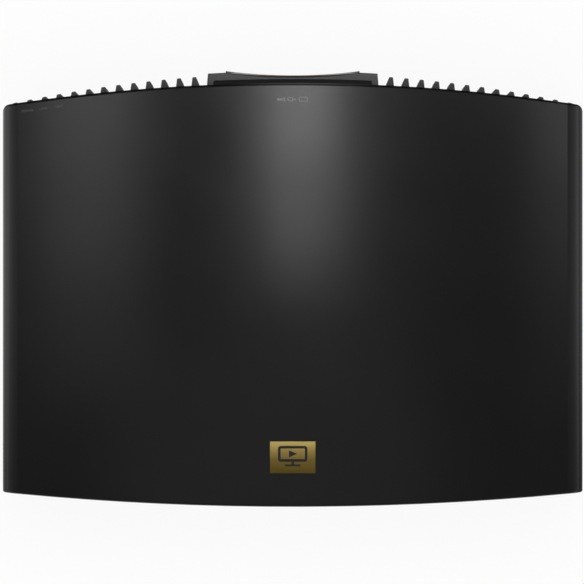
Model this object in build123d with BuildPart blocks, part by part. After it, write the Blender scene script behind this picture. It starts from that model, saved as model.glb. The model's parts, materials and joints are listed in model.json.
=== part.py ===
from build123d import *
import math
import os

# Home cinema projector, in millimetres. +Z is up and the lens looks along -Y.
# The origin is on the ground, under the middle of the whole outline.
# Left and right are as seen by someone facing the lens: left is -X, right is +X.

# Whole body
body_width = 493.0
body_depth = 370.0  # from the lens bezel's front corners to the rear edge
overall_height = 156.0
ground_gap = 14.0  # air under the case
wall = 3.0
split_height = 38.0  # parting line between cover and case
sill_rise = 10.0  # front and rear sills above the case's underside
brow_drop = 18.0  # lower edge of the cover's brow below the top
fit_gap = 0.3  # between pieces that are fitted by hand
running_gap = 0.1  # radial, between pieces that turn or slide

# Outline of the cover
front_edge_radius = 1636.0
rear_edge_radius = 2511.0
hood_reach = 10.6  # bezel corners ahead of the cover's front edge
front_corner_radius = 7.0
rear_corner_radius = 2.0
crown_rise = 7.0
edge_roll = 14.0
edge_softness = 2.0
corner_return = 6.0  # the cover's sides wrap this far on to the front and rear
case_inset = 1.0  # shadow line between cover and case
case_edge_radius = 3.0

# Front grilles
fin_count = 13
first_fin_gap = 13.4  # from the hood to the outer side of the nearest fin
last_fin_gap = 1.75  # from the last fin to the grille's outer end
fin_bunching = 5.2  # how much the spacing closes up towards the corner
fin_tip_width = 3.1
fin_tip_round = 0.6
fin_lean = 0.95  # outer side of a fin, drawn in at its tip
fin_root_width = 7.5
fin_root_sink = 0.5  # full width is reached this far behind the cover's edge
fin_tip_radius = 1130.0
fin_tip_reach = 0.58  # tip line ahead of the cover's edge, at the last fin
rail_inset = 1.0
rail_depth = 8.0
rail_height = 4.0
stile_width = 2.4

# Lens hood and bezel
hood_cheek = 15.8  # hood beyond the bezel on each side
hood_taper = 0.7
hood_rim_bevel = 0.9
hood_front_radius = 1230.0
hood_step = 1.4  # bezel corners ahead of the hood's face
hood_side = 5.4
hood_plate = 3.0
hood_top_plate = 6.0
hood_length = 44.0
hood_ledge = 3.0
hood_column = 9.0
trough_reach = 3.9
trough_depth = 3.0
window_thickness = 2.0
window_tuck = 8.0
bezel_margin = 9.0  # bezel beyond the funnel on each side
scoop_depth = 3.6
bezel_thickness = 2.2
trim_height = 2.5
trim_thickness = 0.45  # at the middle
trim_flare = 1.4  # added thickness at both ends
funnel_clearance = 2.5  # under the hood's top plate
funnel_taper = 3.0
funnel_wall = 2.0
funnel_length = 30.0

# Lens
lens_setback = 19.0  # front glass behind the bezel's corners
finger_gap = 9.0  # between the funnel and the rings
ring_wall = 6.0
barrel_wall = 3.0
focus_ring_length = 16.0
zoom_ring_length = 14.0
shoulder_rise = 3.0
shoulder_length = 1.6
ring_gap = 0.3
rib_count = 36
rib_depth = 1.0
zoom_lever_reach = 6.0
zoom_lever_width = 7.0
cell_length = 15.0
glass_seat = 7.0
glass_rim = 2.0
glass_bulge = 3.0
front_glass_edge = 3.5  # cell wall round the front glass
zoom_glass_edge = 7.0
zoom_cell_length = 14.0
zoom_cell_setback = 33.0  # zoom cell behind the front glass
barrel_length = 110.0
tail_step = 4.0
flange_rise = 10.0
flange_thickness = 5.0
flange_setback = 55.0  # flange behind the front glass

# Lens shift
v_travel = 3.5
h_travel = 2.5
plate_thickness = 5.0
plate_gap = 0.2
guide_width = 5.0
guide_depth = 2.5
knob_radius = 6.5
knob_length = 11.0
knob_sink = 1.0
knob_clearance = 2.0
pocket_wall = 1.5
knob_side_gap = 0.5  # between the pockets and the hood's ledges
shaft_radius = 2.5
gear_module = 1.0
pinion_teeth = 12
tooth_thickness = 1.05
tooth_addendum = 0.75
tooth_dedendum = 1.25
flank_angle = 20.0

# Light engine
engine_half_width = 60.0
engine_height = 86.0
engine_length = 98.0
engine_wall = 4.0
leg_radius = 6.0
prism_size = 34.0
prism_gap = 0.4
tunnel_size = 12.0
tunnel_bore = 8.0
tunnel_length = 74.0
tunnel_flange = 24.0
relay_radius = 14.0
relay_thickness = 5.0
wheel_radius = 24.0
wheel_thickness = 1.0
wheel_track = 18.0  # colour band's radius
motor_radius = 9.0
motor_length = 11.0
chip_width = 24.0
chip_height = 16.0
board_thickness = 1.6
heatsink_width = 70.0
heatsink_height = 70.0
heatsink_depth = 38.0
heatsink_fins = 12
heatsink_fin_thickness = 1.6

# Lamp
lamp_gap = 23.0  # between the colour wheel and the lamp
lamp_length = 68.0
lamp_width = 86.0
lamp_height = 82.0
lamp_wall = 3.0
reflector_radius = 34.0
reflector_depth = 42.0
reflector_wall = 3.0
burner_radius = 5.0
door_margin = 8.0
door_thickness = 2.0
door_ledge = 3.0

# Cooling
fan_size = 80.0
fan_depth = 25.0
fan_rim = 2.0  # thinnest wall round the duct
fan_blades = 7
fan_blade_thickness = 1.8
fan_blade_pitch = 38.0
fan_tip_gap = 1.6
fan_side_gap = 37.2  # between the lens hood and the fan
fan_setback = 34.0  # behind the cover's front edge
slot_count = 15
slot_width = 3.6
slot_pitch = 8.0
slot_length = 56.0

# Keypad, on the right side
keypad_length = 96.0
keypad_height = 46.0
keypad_y = -14.0
keypad_sink = 2.4
keypad_thickness = 3.0
button_travel = 1.0
button_proud = 1.4
button_flange = 1.2
arrow_offset = 13.5
arrow_size = 8.0
ok_radius = 6.0
side_button_radius = 4.5
power_radius = 6.5

# Feet
foot_side_gap = 51.5  # from the side
foot_front_gap = 64.4  # behind the cover's front edge
foot_rear_gap = 55.0  # ahead of the rear edge
pad_radius = 14.0
pad_height = 4.6
foot_disc_radius = 12.5
foot_disc_height = 5.6
stud_radius = 4.0
stud_length = 24.0
foot_travel = 10.0
pivot_radius = 3.0
pivot_length = 2.4
insert_wall = 2.0
foot_insert_length = 16.0
boss_wall = 3.0
rear_foot_radius = 12.0

# Ceiling mount
mount_half_x = 100.0
mount_front_y = -75.0
mount_rear_y = 85.0
mount_hole_radius = 2.0
mount_insert_length = 8.0

# Rear panel and sockets
panel_inset = 1.5
panel_thickness = 3.0
bay_depth = 24.0
bay_wall = 2.0
io_bay_x = 15.0
io_bay_width = 262.0
io_bay_height = 44.0
io_bay_rise = 16.0  # above the rear sill
ac_bay_side_gap = 68.5  # from the side to the middle of the mains bay
ac_bay_width = 52.0
socket_length = 12.0
socket_proud = 1.0
ac_flange_width = 46.0
ac_flange_height = 26.0
ac_flange_thickness = 2.0
ac_flange_corner = 3.0
ac_body_width = 27.0
ac_body_height = 20.0
ac_body_length = 18.0
ac_recess_width = 24.0
ac_recess_height = 16.0
ac_recess_depth = 17.0
ac_recess_corner = 2.0
ac_pin_width = 2.0
ac_pin_height = 4.0
ac_pin_setback = 7.0  # pin ends behind the flange's face
ac_live_offset = 7.0
ac_live_rise = 2.0
ac_earth_drop = 3.0
board_margin = 8.0

# Power boards
psu_length = 170.0
psu_width = 138.0
ballast_length = 76.0
ballast_width = 100.0
board_rise = 7.0  # above the case floor
board_edge_gap = 8.0  # from the case's side wall
chip_size = 30.0
memory_width = 14.0
memory_height = 10.0
chip_thickness = 3.0
# What stands on the main board: places from the bay's middle
main_chips = ((-60, 0), (10, 6), (70, -4))
memory_chips = ((-25, 10), (-25, -12), (40, 0))
# What stands on the power boards: places from the board's middle, then the size
psu_transformers = (((-30, -40, 0), (20, 10, 0)), (42, 36, 34))
psu_heat_sink = (((-40, 15, 0),), (8, 60, 40))
psu_tall_caps = (((35, -45, 0), (35, -20, 0)), (11, 38))
psu_low_caps = (((-10, 60, 0), (15, 60, 0), (40, 60, 0)), (7, 22))
ballast_transformer = (((-24, -12, 0),), (34, 38, 30))
ballast_plug = (((-24, 24, 0),), (40, 10, 24))
ballast_caps = (((22, -14, 0), (22, 14, 0)), (9, 26))

# Screws
screw_radius = 1.5
screw_length = 24.0
screw_head_radius = 2.75
screw_head_height = 2.2
screw_clearance = 0.2
post_radius = 4.5
boss_radius = 5.0
head_recess = 14.0
front_post_gap = 9.0  # behind the grille
rear_post_gap = 14.5  # ahead of the rear panel

# Badge and indicator lights
badge_width = 38.6
badge_depth = 27.0
badge_thickness = 0.9
badge_proud = 0.4
badge_rear_gap = 42.0  # from the rear edge to the badge's middle
light_radius = 1.2
light_length = 6.0
light_side_gap = 21.5  # from the side to the outermost light
light_pitch = 13.4
light_count = 3

# Worked-out places
half_width = body_width / 2
hood_front = -body_depth / 2
front_y = hood_front + hood_reach
rear_y = body_depth / 2
cover_top = overall_height - badge_proud
floor_top = ground_gap + wall
sill = ground_gap + sill_rise
brow = cover_top - brow_drop
hood_top = brow - fit_gap
lens_height = (sill + brow) / 2
funnel_front_radius = hood_top - hood_top_plate - funnel_clearance - funnel_wall - lens_height
funnel_back_radius = funnel_front_radius - funnel_taper
bezel_half = funnel_front_radius + funnel_wall + bezel_margin
hood_half = bezel_half + hood_cheek
badge_y = rear_y - badge_rear_gap
opening_half = half_width - corner_return
grille_start = hood_half + fit_gap
grille_end = opening_half - fit_gap
first_fin = hood_half + first_fin_gap
last_fin = grille_end - last_fin_gap
inner_half = half_width - case_inset - wall
lens_front = hood_front + lens_setback
hood_back = hood_front + hood_length
funnel_back = hood_front + funnel_length
pocket_radius = knob_radius + knob_clearance
pitch_radius = gear_module * pinion_teeth / 2
knob_x = bezel_half - hood_ledge - knob_side_gap - pocket_radius - pocket_wall
ring_radius = funnel_back_radius - finger_gap
barrel_radius = ring_radius - ring_wall
barrel_bore = barrel_radius - barrel_wall
shoulder_radius = barrel_radius + shoulder_rise
front_glass_radius = barrel_bore - front_glass_edge
zoom_glass_radius = barrel_bore - zoom_glass_edge
tail_radius = barrel_radius - tail_step
tail_bore = tail_radius - barrel_wall
flange_radius = barrel_radius + flange_rise
knob_z = sill + hood_plate + pocket_radius + pocket_wall + v_travel + fit_gap
flange_front = lens_front + flange_setback
h_plate_front = flange_front + flange_thickness
v_plate_front = h_plate_front + plate_thickness + plate_gap
base_front = v_plate_front + plate_thickness + plate_gap
engine_front = base_front + plate_thickness
engine_back = engine_front + engine_length
engine_bottom = lens_height - engine_height / 2
prism_y = engine_front + engine_length * 0.6
wheel_x = engine_half_width - engine_wall - prism_size / 2 + tunnel_length + 2.0
wheel_z = lens_height - wheel_track
board_z = floor_top + board_rise
bay_floor_y = rear_y - bay_depth
ac_bay_x = ac_bay_side_gap - half_width
io_bay_z = sill + io_bay_rise
main_board_back = bay_floor_y - socket_length + socket_proud
post_x = half_width - wall - post_radius + case_inset
keypad_z = lens_height + crown_rise
keypad_face = half_width - keypad_sink
keypad_back = keypad_face - keypad_thickness
light_z = brow + light_radius + 2 * edge_softness
front_sag = front_edge_radius - math.sqrt(front_edge_radius**2 - opening_half**2)
rear_sag = rear_edge_radius - math.sqrt(rear_edge_radius**2 - opening_half**2)
front_reach = hood_reach + front_sag + 2 * wall
rear_reach = rear_sag + 2 * wall
front_post_y = front_y + front_sag + rail_inset + rail_depth + post_radius + front_post_gap
rear_post_y = rear_y - rear_sag - panel_inset - panel_thickness - post_radius - rear_post_gap
opening_cuts = [(hood_front, front_reach), (rear_y, rear_reach)]
lamp_front_x = wheel_x + lamp_gap
lamp_y = prism_y
lamp_bottom = lens_height - lamp_height / 2
door_half_x = lamp_length / 2 - door_margin
door_half_y = lamp_width / 2 - door_margin
lamp_mid_x = lamp_front_x + lamp_length / 2
fan_x = hood_half + fan_side_gap + fan_size / 2
fan_duct_radius = fan_size / 2 - fan_rim
fan_hub_radius = fan_size / 5
fan_front = front_y + fan_setback
fan_mid_y = fan_front + fan_depth / 2
fan_bottom = lens_height - fan_size / 2
foot_x = half_width - foot_side_gap
front_foot_y = front_y + foot_front_gap
rear_foot_y = rear_y - foot_rear_gap
foot_insert_radius = stud_radius + running_gap + insert_wall
mount_insert_radius = mount_hole_radius + insert_wall
psu_mid_x = -(inner_half - board_edge_gap - psu_width / 2)
psu_mid_y = 25.0
ballast_mid_x = inner_half - board_edge_gap - ballast_width / 2
ballast_mid_y = 83.0
main_board_bottom = io_bay_z - board_margin
lens_axis = Axis((0, 0, lens_height), (0, 1, 0))
lens_plane = Plane.XY.offset(lens_height)


def sagitta(radius, half_chord):
    """Rise of an arc of this radius over half its chord."""
    return radius - math.sqrt(radius**2 - half_chord**2)


def front_edge(x):
    """Y of the cover's front edge at x."""
    return front_y + sagitta(front_edge_radius, x)


def rear_edge(x):
    """Y of the cover's rear edge at x."""
    return rear_y - sagitta(rear_edge_radius, x)


def front_plane(y):
    """Upright plane at y with local axes X and Z, facing the front."""
    return Plane(origin=(0, y, 0), x_dir=(1, 0, 0), z_dir=(0, -1, 0))


def side_plane(x):
    """Upright plane at x with local axes Y and Z, facing right."""
    return Plane(origin=(x, 0, 0), x_dir=(0, 1, 0), z_dir=(1, 0, 0))


def plan_face(inset, corners=(front_corner_radius, rear_corner_radius)):
    """The casing seen from above, drawn in by inset all round; corners None leaves them square."""
    half = half_width - inset
    front_corner_y = front_y + inset + sagitta(front_edge_radius - inset, half)
    rear_corner_y = rear_y - inset - sagitta(rear_edge_radius - inset, half)
    with BuildSketch() as face:
        with BuildLine():
            ThreePointArc((-half, front_corner_y), (0, front_y + inset), (half, front_corner_y))
            Line((half, front_corner_y), (half, rear_corner_y))
            ThreePointArc((half, rear_corner_y), (0, rear_y - inset), (-half, rear_corner_y))
            Line((-half, rear_corner_y), (-half, front_corner_y))
        make_face()
        if corners:
            points = face.vertices().sort_by(Axis.Y)
            fillet(points[:2], max(corners[0] - inset, corners[0] / 4))
            fillet(points[2:], max(corners[1] - inset, corners[1] / 4))
    return face.sketch


def crown_face(inset):
    """The cover seen from the front: crowned top, rolled edges and upright sides."""
    half = half_width - inset
    top = cover_top - inset
    with BuildSketch(Plane.XZ) as face:
        with BuildLine():
            ThreePointArc((-half, top - crown_rise), (0, top), (half, top - crown_rise))
            Polyline((half, top - crown_rise), (half, 0), (-half, 0), (-half, top - crown_rise))
        make_face()
        fillet(face.vertices().sort_by(Axis.Y)[2:], edge_roll - inset)
    return face.sketch


def save(piece, name):
    """Labels a finished piece and writes it."""
    piece.label = name
    export_step(piece, f"parts/{name}.step")


os.makedirs("parts", exist_ok=True)
post_places = [(side * post_x, y) for side in (-1, 1) for y in (front_post_y, rear_post_y)]
light_places = [half_width - light_side_gap - light_pitch * i for i in range(light_count)]

# Top cover: a crowned shell that wraps the top and both sides

with BuildPart() as cover_cavity:
    extrude(plan_face(wall), amount=overall_height)
    extrude(crown_face(wall), amount=body_depth, both=True, mode=Mode.INTERSECT)
    with Locations(*[(x, y, 0) for x, y in post_places]):
        Cylinder(post_radius, 3 * overall_height, mode=Mode.SUBTRACT)

with BuildPart() as top_cover:
    with BuildSketch(Plane.XY.offset(split_height)):
        add(plan_face(0, corners=None))
    extrude(amount=overall_height)
    extrude(crown_face(0), amount=body_depth, both=True, mode=Mode.INTERSECT)
    upper_edges = top_cover.edges().filter_by(lambda e: abs(e.center().X) < 1 and e.center().Z > brow)
    fillet(upper_edges, edge_softness)
    extrude(plan_face(0), amount=2 * overall_height, mode=Mode.INTERSECT)
    add(cover_cavity.part, mode=Mode.SUBTRACT)
    for y, reach in opening_cuts:
        with Locations((0, y, 0)):
            Box(2 * opening_half, 2 * reach, 2 * brow, mode=Mode.SUBTRACT)
    with BuildSketch(side_plane(half_width)):
        with Locations((keypad_y, keypad_z)):
            Rectangle(keypad_length + 2 * fit_gap, keypad_height + 2 * fit_gap)
    extrude(amount=-2 * wall, mode=Mode.SUBTRACT)
    with BuildSketch(side_plane(-half_width)):
        with Locations((keypad_y, keypad_z)):
            with GridLocations(slot_pitch, slot_pitch, slot_count, 1):
                SlotOverall(slot_length, slot_width, rotation=90)
    extrude(amount=2 * wall, mode=Mode.SUBTRACT)
    for x in light_places:
        with BuildSketch(front_plane(front_edge(x) + light_length)):
            with Locations((x, light_z)):
                Circle(light_radius + running_gap / 2)
        extrude(amount=2 * light_length, mode=Mode.SUBTRACT)
    with Locations((0, badge_y, overall_height - badge_thickness)):
        Box(badge_width + fit_gap, badge_depth + fit_gap, badge_thickness,
            align=(Align.CENTER, Align.CENTER, Align.MIN), mode=Mode.SUBTRACT)
    with Locations(*[(x, y, split_height) for x, y in post_places]):
        Cylinder(screw_radius, screw_length, mode=Mode.SUBTRACT)
save(top_cover.part, "top_cover")

# Bottom case: a tray with low front and rear sills, bosses, rails and standoffs

case_corners = (front_corner_radius, front_corner_radius)
foot_places = [(-foot_x, front_foot_y), (foot_x, front_foot_y)]
mount_places = [(x, y) for x in (-mount_half_x, mount_half_x) for y in (mount_front_y, mount_rear_y)]
psu_standoffs = [(psu_mid_x + sx * (psu_width / 2 - board_margin),
                  psu_mid_y + sy * (psu_length / 2 - board_margin))
                 for sx in (-1, 1) for sy in (-1, 1)]
ballast_standoffs = [(ballast_mid_x + sx * (ballast_width / 2 - board_margin),
                      ballast_mid_y + sy * (ballast_length / 2 - board_margin))
                     for sx in (-1, 1) for sy in (-1, 1)]
LOW = (Align.CENTER, Align.CENTER, Align.MIN)

with BuildPart() as case_cavity:
    with BuildSketch(Plane.XY.offset(floor_top)):
        add(plan_face(case_inset + wall, case_corners))
    extrude(amount=overall_height)
    with Locations(*[(x, y, 0) for x, y in post_places]):
        Cylinder(boss_radius, 3 * overall_height, mode=Mode.SUBTRACT)

with BuildPart() as bottom_case:
    with BuildSketch(Plane.XY.offset(ground_gap)):
        add(plan_face(case_inset, case_corners))
    extrude(amount=split_height - ground_gap)
    fillet(bottom_case.faces().sort_by(Axis.Z)[0].edges(), case_edge_radius)
    add(case_cavity.part, mode=Mode.SUBTRACT)
    for y, reach in opening_cuts:
        with Locations((0, y, sill)):
            Box(2 * opening_half, 2 * reach, overall_height, align=LOW, mode=Mode.SUBTRACT)
    with Locations(*[(x, y, ground_gap) for x, y in foot_places]):
        Cylinder(foot_insert_radius + boss_wall, foot_insert_length, align=LOW)
        Cylinder(foot_insert_radius, foot_insert_length, align=LOW, mode=Mode.SUBTRACT)
    with Locations(*[(x, y, ground_gap) for x, y in mount_places]):
        Cylinder(mount_insert_radius + boss_wall, mount_insert_length + wall / 2, align=LOW)
        Cylinder(mount_insert_radius, mount_insert_length, align=LOW, mode=Mode.SUBTRACT)
    with Locations(*[(x, y, floor_top - wall / 2) for x, y in psu_standoffs + ballast_standoffs]):
        Cylinder(boss_wall, board_z - floor_top + wall / 2, align=LOW)
    with Locations(*[(x, y, ground_gap) for x, y in post_places]):
        Cylinder(screw_radius + screw_clearance, split_height, align=LOW, mode=Mode.SUBTRACT)
        Cylinder(screw_head_radius + screw_clearance, head_recess, align=LOW, mode=Mode.SUBTRACT)
    # Rails that carry the lamp, and the rebated opening of the lamp door
    for side in (-1, 1):
        with Locations((lamp_mid_x, lamp_y + side * (lamp_width / 2 - wall), floor_top - wall / 2)):
            Box(lamp_length, wall, lamp_bottom - floor_top + wall / 2, align=LOW)
    with Locations((lamp_mid_x, lamp_y, ground_gap)):
        Box(2 * door_half_x, 2 * door_half_y, door_thickness, align=LOW, mode=Mode.SUBTRACT)
        Box(2 * (door_half_x - door_ledge), 2 * (door_half_y - door_ledge), 2 * wall,
            align=LOW, mode=Mode.SUBTRACT)
    # Posts under the fans, the lens hood and the main board
    with Locations(*[(side * fan_x + end * fan_size * 0.36, fan_mid_y, floor_top - wall / 2)
                     for side in (-1, 1) for end in (-1, 1)]):
        Box(10, fan_depth - 5, fan_bottom - floor_top + wall / 2, align=LOW)
    with Locations(*[(side * hood_half / 2, hood_back - 8, floor_top - wall / 2) for side in (-1, 1)]):
        Box(12, 12, sill - floor_top + wall / 2, align=LOW)
    with Locations(*[(io_bay_x + side * (io_bay_width / 2 - 20), main_board_back - 1, floor_top - wall / 2)
                     for side in (-1, 1)]):
        Box(10, 6, main_board_bottom - floor_top + wall / 2, align=LOW)
    # Air slots under the power supply
    with Locations((psu_mid_x, psu_mid_y, ground_gap)):
        with GridLocations(slot_pitch, slot_pitch, 9, 1):
            Box(slot_width, slot_length, 2 * wall, align=LOW, mode=Mode.SUBTRACT)
save(bottom_case.part, "bottom_case")

with BuildPart() as lamp_door:
    with Locations((lamp_mid_x, lamp_y, ground_gap)):
        Box(2 * (door_half_x - fit_gap), 2 * (door_half_y - fit_gap), door_thickness, align=LOW)
        with GridLocations(3, 3, 8, 1):
            Box(1.4, door_half_y, door_thickness / 2, align=LOW, mode=Mode.SUBTRACT)
        with Locations((0, door_half_y * 0.85, 0), (0, -door_half_y * 0.85, 0)):
            Cylinder(screw_head_radius, door_thickness / 2, align=LOW, mode=Mode.SUBTRACT)
save(lamp_door.part, "lamp_door")

with BuildPart() as case_screws:
    with Locations(*[(x, y, ground_gap + head_recess - screw_head_height) for x, y in post_places]):
        Cylinder(screw_head_radius, screw_head_height, align=LOW)
        Cylinder(screw_radius, screw_head_height + screw_length * 0.85, align=LOW)
        Box(3.6, 0.9, 1.2, align=LOW, mode=Mode.SUBTRACT)
        Box(0.9, 3.6, 1.2, align=LOW, mode=Mode.SUBTRACT)
save(case_screws.part, "case_screws")

# Front grilles: a rail above and below, stiles, and fins that reach past the cover's edge


def tip_line(x):
    """Y of the line that the fin tips follow."""
    last_tip = front_edge(last_fin) - fin_tip_reach
    return last_tip - sagitta(fin_tip_radius, last_fin) + sagitta(fin_tip_radius, x)


def fin_side(j):
    """X of the outer side of fin j at its root."""
    share = j / (fin_count - 1)
    return first_fin + (last_fin - first_fin) * share + fin_bunching * share * (1 - share)


with BuildPart() as right_grille:
    with BuildSketch(Plane.XY.offset(sill)):
        add(plan_face(rail_inset))
        add(plan_face(rail_inset + rail_depth), mode=Mode.SUBTRACT)
    extrude(amount=hood_top - sill)
    grille_back = front_edge(grille_end) + rail_inset + rail_depth
    with Locations(((grille_start + grille_end) / 2, grille_back, 0)):
        Box(grille_end - grille_start, body_depth, 4 * overall_height,
            align=(Align.CENTER, Align.MAX, Align.CENTER), mode=Mode.INTERSECT)
    with Locations(((grille_start + grille_end) / 2, -body_depth / 2, (sill + hood_top) / 2)):
        Box(grille_end - grille_start - 2 * stile_width, body_depth, hood_top - sill - 2 * rail_height,
            mode=Mode.SUBTRACT)
    with BuildSketch(Plane.XY.offset(sill)) as fins:
        for j in range(fin_count):
            outer = fin_side(j)
            inner = outer - fin_root_width
            tip = outer - fin_lean
            root = front_edge(outer) + fin_root_sink
            back = front_edge(outer) + rail_inset + rail_depth * 0.8
            with BuildLine():
                Polyline((tip, tip_line(tip)), (tip - fin_tip_width, tip_line(tip - fin_tip_width)),
                         (inner, root), (inner, back), (outer, back), (outer, root), close=True)
            make_face()
        tips = fins.vertices().filter_by(lambda v: v.Y < tip_line(v.X) + fit_gap)
        fillet(tips, fin_tip_round)
    extrude(amount=hood_top - sill)
save(right_grille.part, "right_grille")

with BuildPart() as left_grille:
    mirror(right_grille.part, about=Plane.YZ)
save(left_grille.part, "left_grille")

# Lens hood: an open frame under the brow, with a dark trough along its top


def scoop_y(x, offset=0.0, flare=0.0):
    """Y of the bezel's concave front at x, moved back by offset, and by flare more at the ends."""
    share = (x / bezel_half) ** 2
    return hood_front + offset + flare * share + scoop_depth * (1 - share)


def scoop_face(half, offset, back, flare=0.0):
    """Plan of what lies behind the bezel's concave front, as far back as y = back."""
    edge = scoop_y(half, offset, flare)
    with BuildSketch() as face:
        with BuildLine():
            ThreePointArc((-half, edge), (0, scoop_y(0, offset)), (half, edge))
            Polyline((half, edge), (half, back), (-half, back), (-half, edge))
        make_face()
    return face.sketch


def trough_face(gap, back):
    """Plan of the trough on the hood, drawn in by gap."""
    half = hood_half - hood_side - gap
    edge = front_edge(half) - trough_reach + gap
    with BuildSketch() as face:
        with BuildLine():
            ThreePointArc((-half, edge), (0, front_y - trough_reach + gap), (half, edge))
            Polyline((half, edge), (half, back), (-half, back), (-half, edge))
        make_face()
    return face.sketch


hood_corner_y = hood_front + hood_step + hood_taper
trough_floor = hood_top - trough_depth
hood_room = hood_top - hood_top_plate - sill - hood_plate

with BuildPart() as lens_hood:
    with BuildSketch(Plane.XY.offset(sill)):
        with BuildLine():
            half = hood_half - hood_taper
            ThreePointArc((-half, hood_corner_y), (0, hood_corner_y - sagitta(hood_front_radius, half)),
                          (half, hood_corner_y))
            Polyline((half, hood_corner_y), (hood_half, front_y), (hood_half, hood_back),
                     (-hood_half, hood_back), (-hood_half, front_y), (-half, hood_corner_y))
        make_face()
    extrude(amount=hood_top - sill)
    upper_rim = lens_hood.faces().sort_by(Axis.Z)[-1].edges().filter_by(lambda e: e.center().Y < front_y)
    chamfer(upper_rim, hood_rim_bevel)
    with Locations((0, hood_front + hood_column, sill + hood_plate)):
        Box(2 * (hood_half - hood_side), hood_length, hood_room,
            align=(Align.CENTER, Align.MIN, Align.MIN), mode=Mode.SUBTRACT)
        Box(2 * (bezel_half - hood_ledge), 4 * hood_length, hood_room, align=LOW, mode=Mode.SUBTRACT)
    with BuildSketch(Plane.XY):
        with Locations((0, hood_front)):
            Rectangle(2 * bezel_half, 2 * hood_length)
        add(scoop_face(bezel_half, bezel_thickness, hood_front + 2 * hood_length), mode=Mode.SUBTRACT)
    extrude(amount=overall_height, mode=Mode.SUBTRACT)
    with BuildSketch(Plane.XY.offset(trough_floor)):
        add(trough_face(0, hood_back + 1))
    extrude(amount=trough_depth + 1, mode=Mode.SUBTRACT)
save(lens_hood.part, "lens_hood")

with BuildPart() as ir_window:
    with BuildSketch(Plane.XY.offset(trough_floor)):
        add(trough_face(running_gap, front_y + window_tuck))
    extrude(amount=window_thickness)
save(ir_window.part, "ir_window")

# Lens bezel: a concave plate with a funnel for the lens and two knob pockets

bezel_edge = bezel_half - running_gap
knob_front = scoop_y(knob_x) + knob_sink
pocket_floor = knob_front + knob_length + knob_sink

with BuildPart() as bezel_trim:
    with BuildSketch(Plane.XY.offset(sill)):
        add(scoop_face(bezel_edge, 0, hood_front + hood_length))
        add(scoop_face(bezel_half, trim_thickness, hood_front + 2 * hood_length, trim_flare),
            mode=Mode.SUBTRACT)
    extrude(amount=hood_top - sill)
    with Locations((0, hood_front, (sill + hood_top) / 2)):
        Box(body_width, body_depth, hood_top - sill - 2 * trim_height, mode=Mode.SUBTRACT)
save(bezel_trim.part, "bezel_trim")

with BuildPart() as lens_bezel:
    with BuildSketch(Plane.XY.offset(sill)):
        add(scoop_face(bezel_edge, 0, hood_front + hood_length))
        add(scoop_face(bezel_half, bezel_thickness, hood_front + 2 * hood_length), mode=Mode.SUBTRACT)
    extrude(amount=hood_top - sill)
    add(bezel_trim.part, mode=Mode.SUBTRACT)
    with BuildSketch(lens_plane):
        with BuildLine():
            Polyline((0, hood_front), (funnel_front_radius + funnel_wall, hood_front),
                     (funnel_back_radius + funnel_wall, funnel_back), (0, funnel_back), close=True)
        make_face()
    revolve(axis=lens_axis)
    with BuildSketch(front_plane(pocket_floor + pocket_wall)):
        with Locations((-knob_x, knob_z)):
            Circle(pocket_radius + pocket_wall)
        with Locations((knob_x, knob_z)):
            SlotCenterToCenter(2 * v_travel, 2 * (pocket_radius + pocket_wall), rotation=90)
    extrude(amount=pocket_floor + pocket_wall - hood_front)
    with BuildSketch(lens_plane):
        with BuildLine():
            Polyline((0, hood_front - 1), (funnel_front_radius, hood_front - 1),
                     (funnel_front_radius, hood_front), (funnel_back_radius, funnel_back),
                     (funnel_back_radius, funnel_back + 1),
                     (0, funnel_back + 1), close=True)
        make_face()
    revolve(axis=lens_axis, mode=Mode.SUBTRACT)
    with BuildSketch(front_plane(pocket_floor)):
        with Locations((-knob_x, knob_z)):
            Circle(pocket_radius)
        with Locations((knob_x, knob_z)):
            SlotCenterToCenter(2 * v_travel, 2 * pocket_radius, rotation=90)
    extrude(amount=hood_length, mode=Mode.SUBTRACT)
    with BuildSketch(front_plane(pocket_floor + pocket_wall)):
        with Locations((-knob_x, knob_z)):
            Circle(shaft_radius + 2 * fit_gap)
        with Locations((knob_x, knob_z)):
            SlotCenterToCenter(2 * v_travel, 2 * (shaft_radius + 2 * fit_gap), rotation=90)
    extrude(amount=2 * pocket_wall, mode=Mode.SUBTRACT)
    with BuildSketch(Plane.XY):
        with Locations((0, hood_front)):
            Rectangle(2 * hood_half, 2 * hood_length)
        add(scoop_face(hood_half, 0, hood_front + 2 * hood_length), mode=Mode.SUBTRACT)
    extrude(amount=overall_height, mode=Mode.SUBTRACT)
save(lens_bezel.part, "lens_bezel")

# Rear panel: a curved band with two sunken bays for the sockets

bays = ((io_bay_x, io_bay_width), (ac_bay_x, ac_bay_width))
bay_mid_z = io_bay_z + io_bay_height / 2
socket_back = bay_floor_y + socket_proud
ac_face_y = bay_floor_y + ac_flange_thickness
# Box sockets: x from the bay's middle, outer size, recess size, tongue size
box_sockets = (
    (-112.0, (16.0, 7.0), (14.2, 5.0), (11.0, 1.4)),
    (-86.0, (16.0, 7.0), (14.2, 5.0), (11.0, 1.4)),
    (-61.0, (14.4, 7.4), (12.6, 5.4), (11.0, 1.8)),
    (-36.0, (16.4, 14.0), (12.4, 8.4), None),
    (0.0, (31.0, 12.6), (18.0, 9.0), (15.6, 6.6)),
    (40.0, (31.0, 12.6), (18.0, 9.0), (15.6, 6.6)),
)
socket_recess = 9.5
phono_places = (70.0, 84.0, 98.0)
phono_radius = 4.2
phono_bore = 1.7
phono_length = 18.0
jack_places = (112.0, 123.0)
jack_radius = 3.2
jack_bore = 1.8

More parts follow.
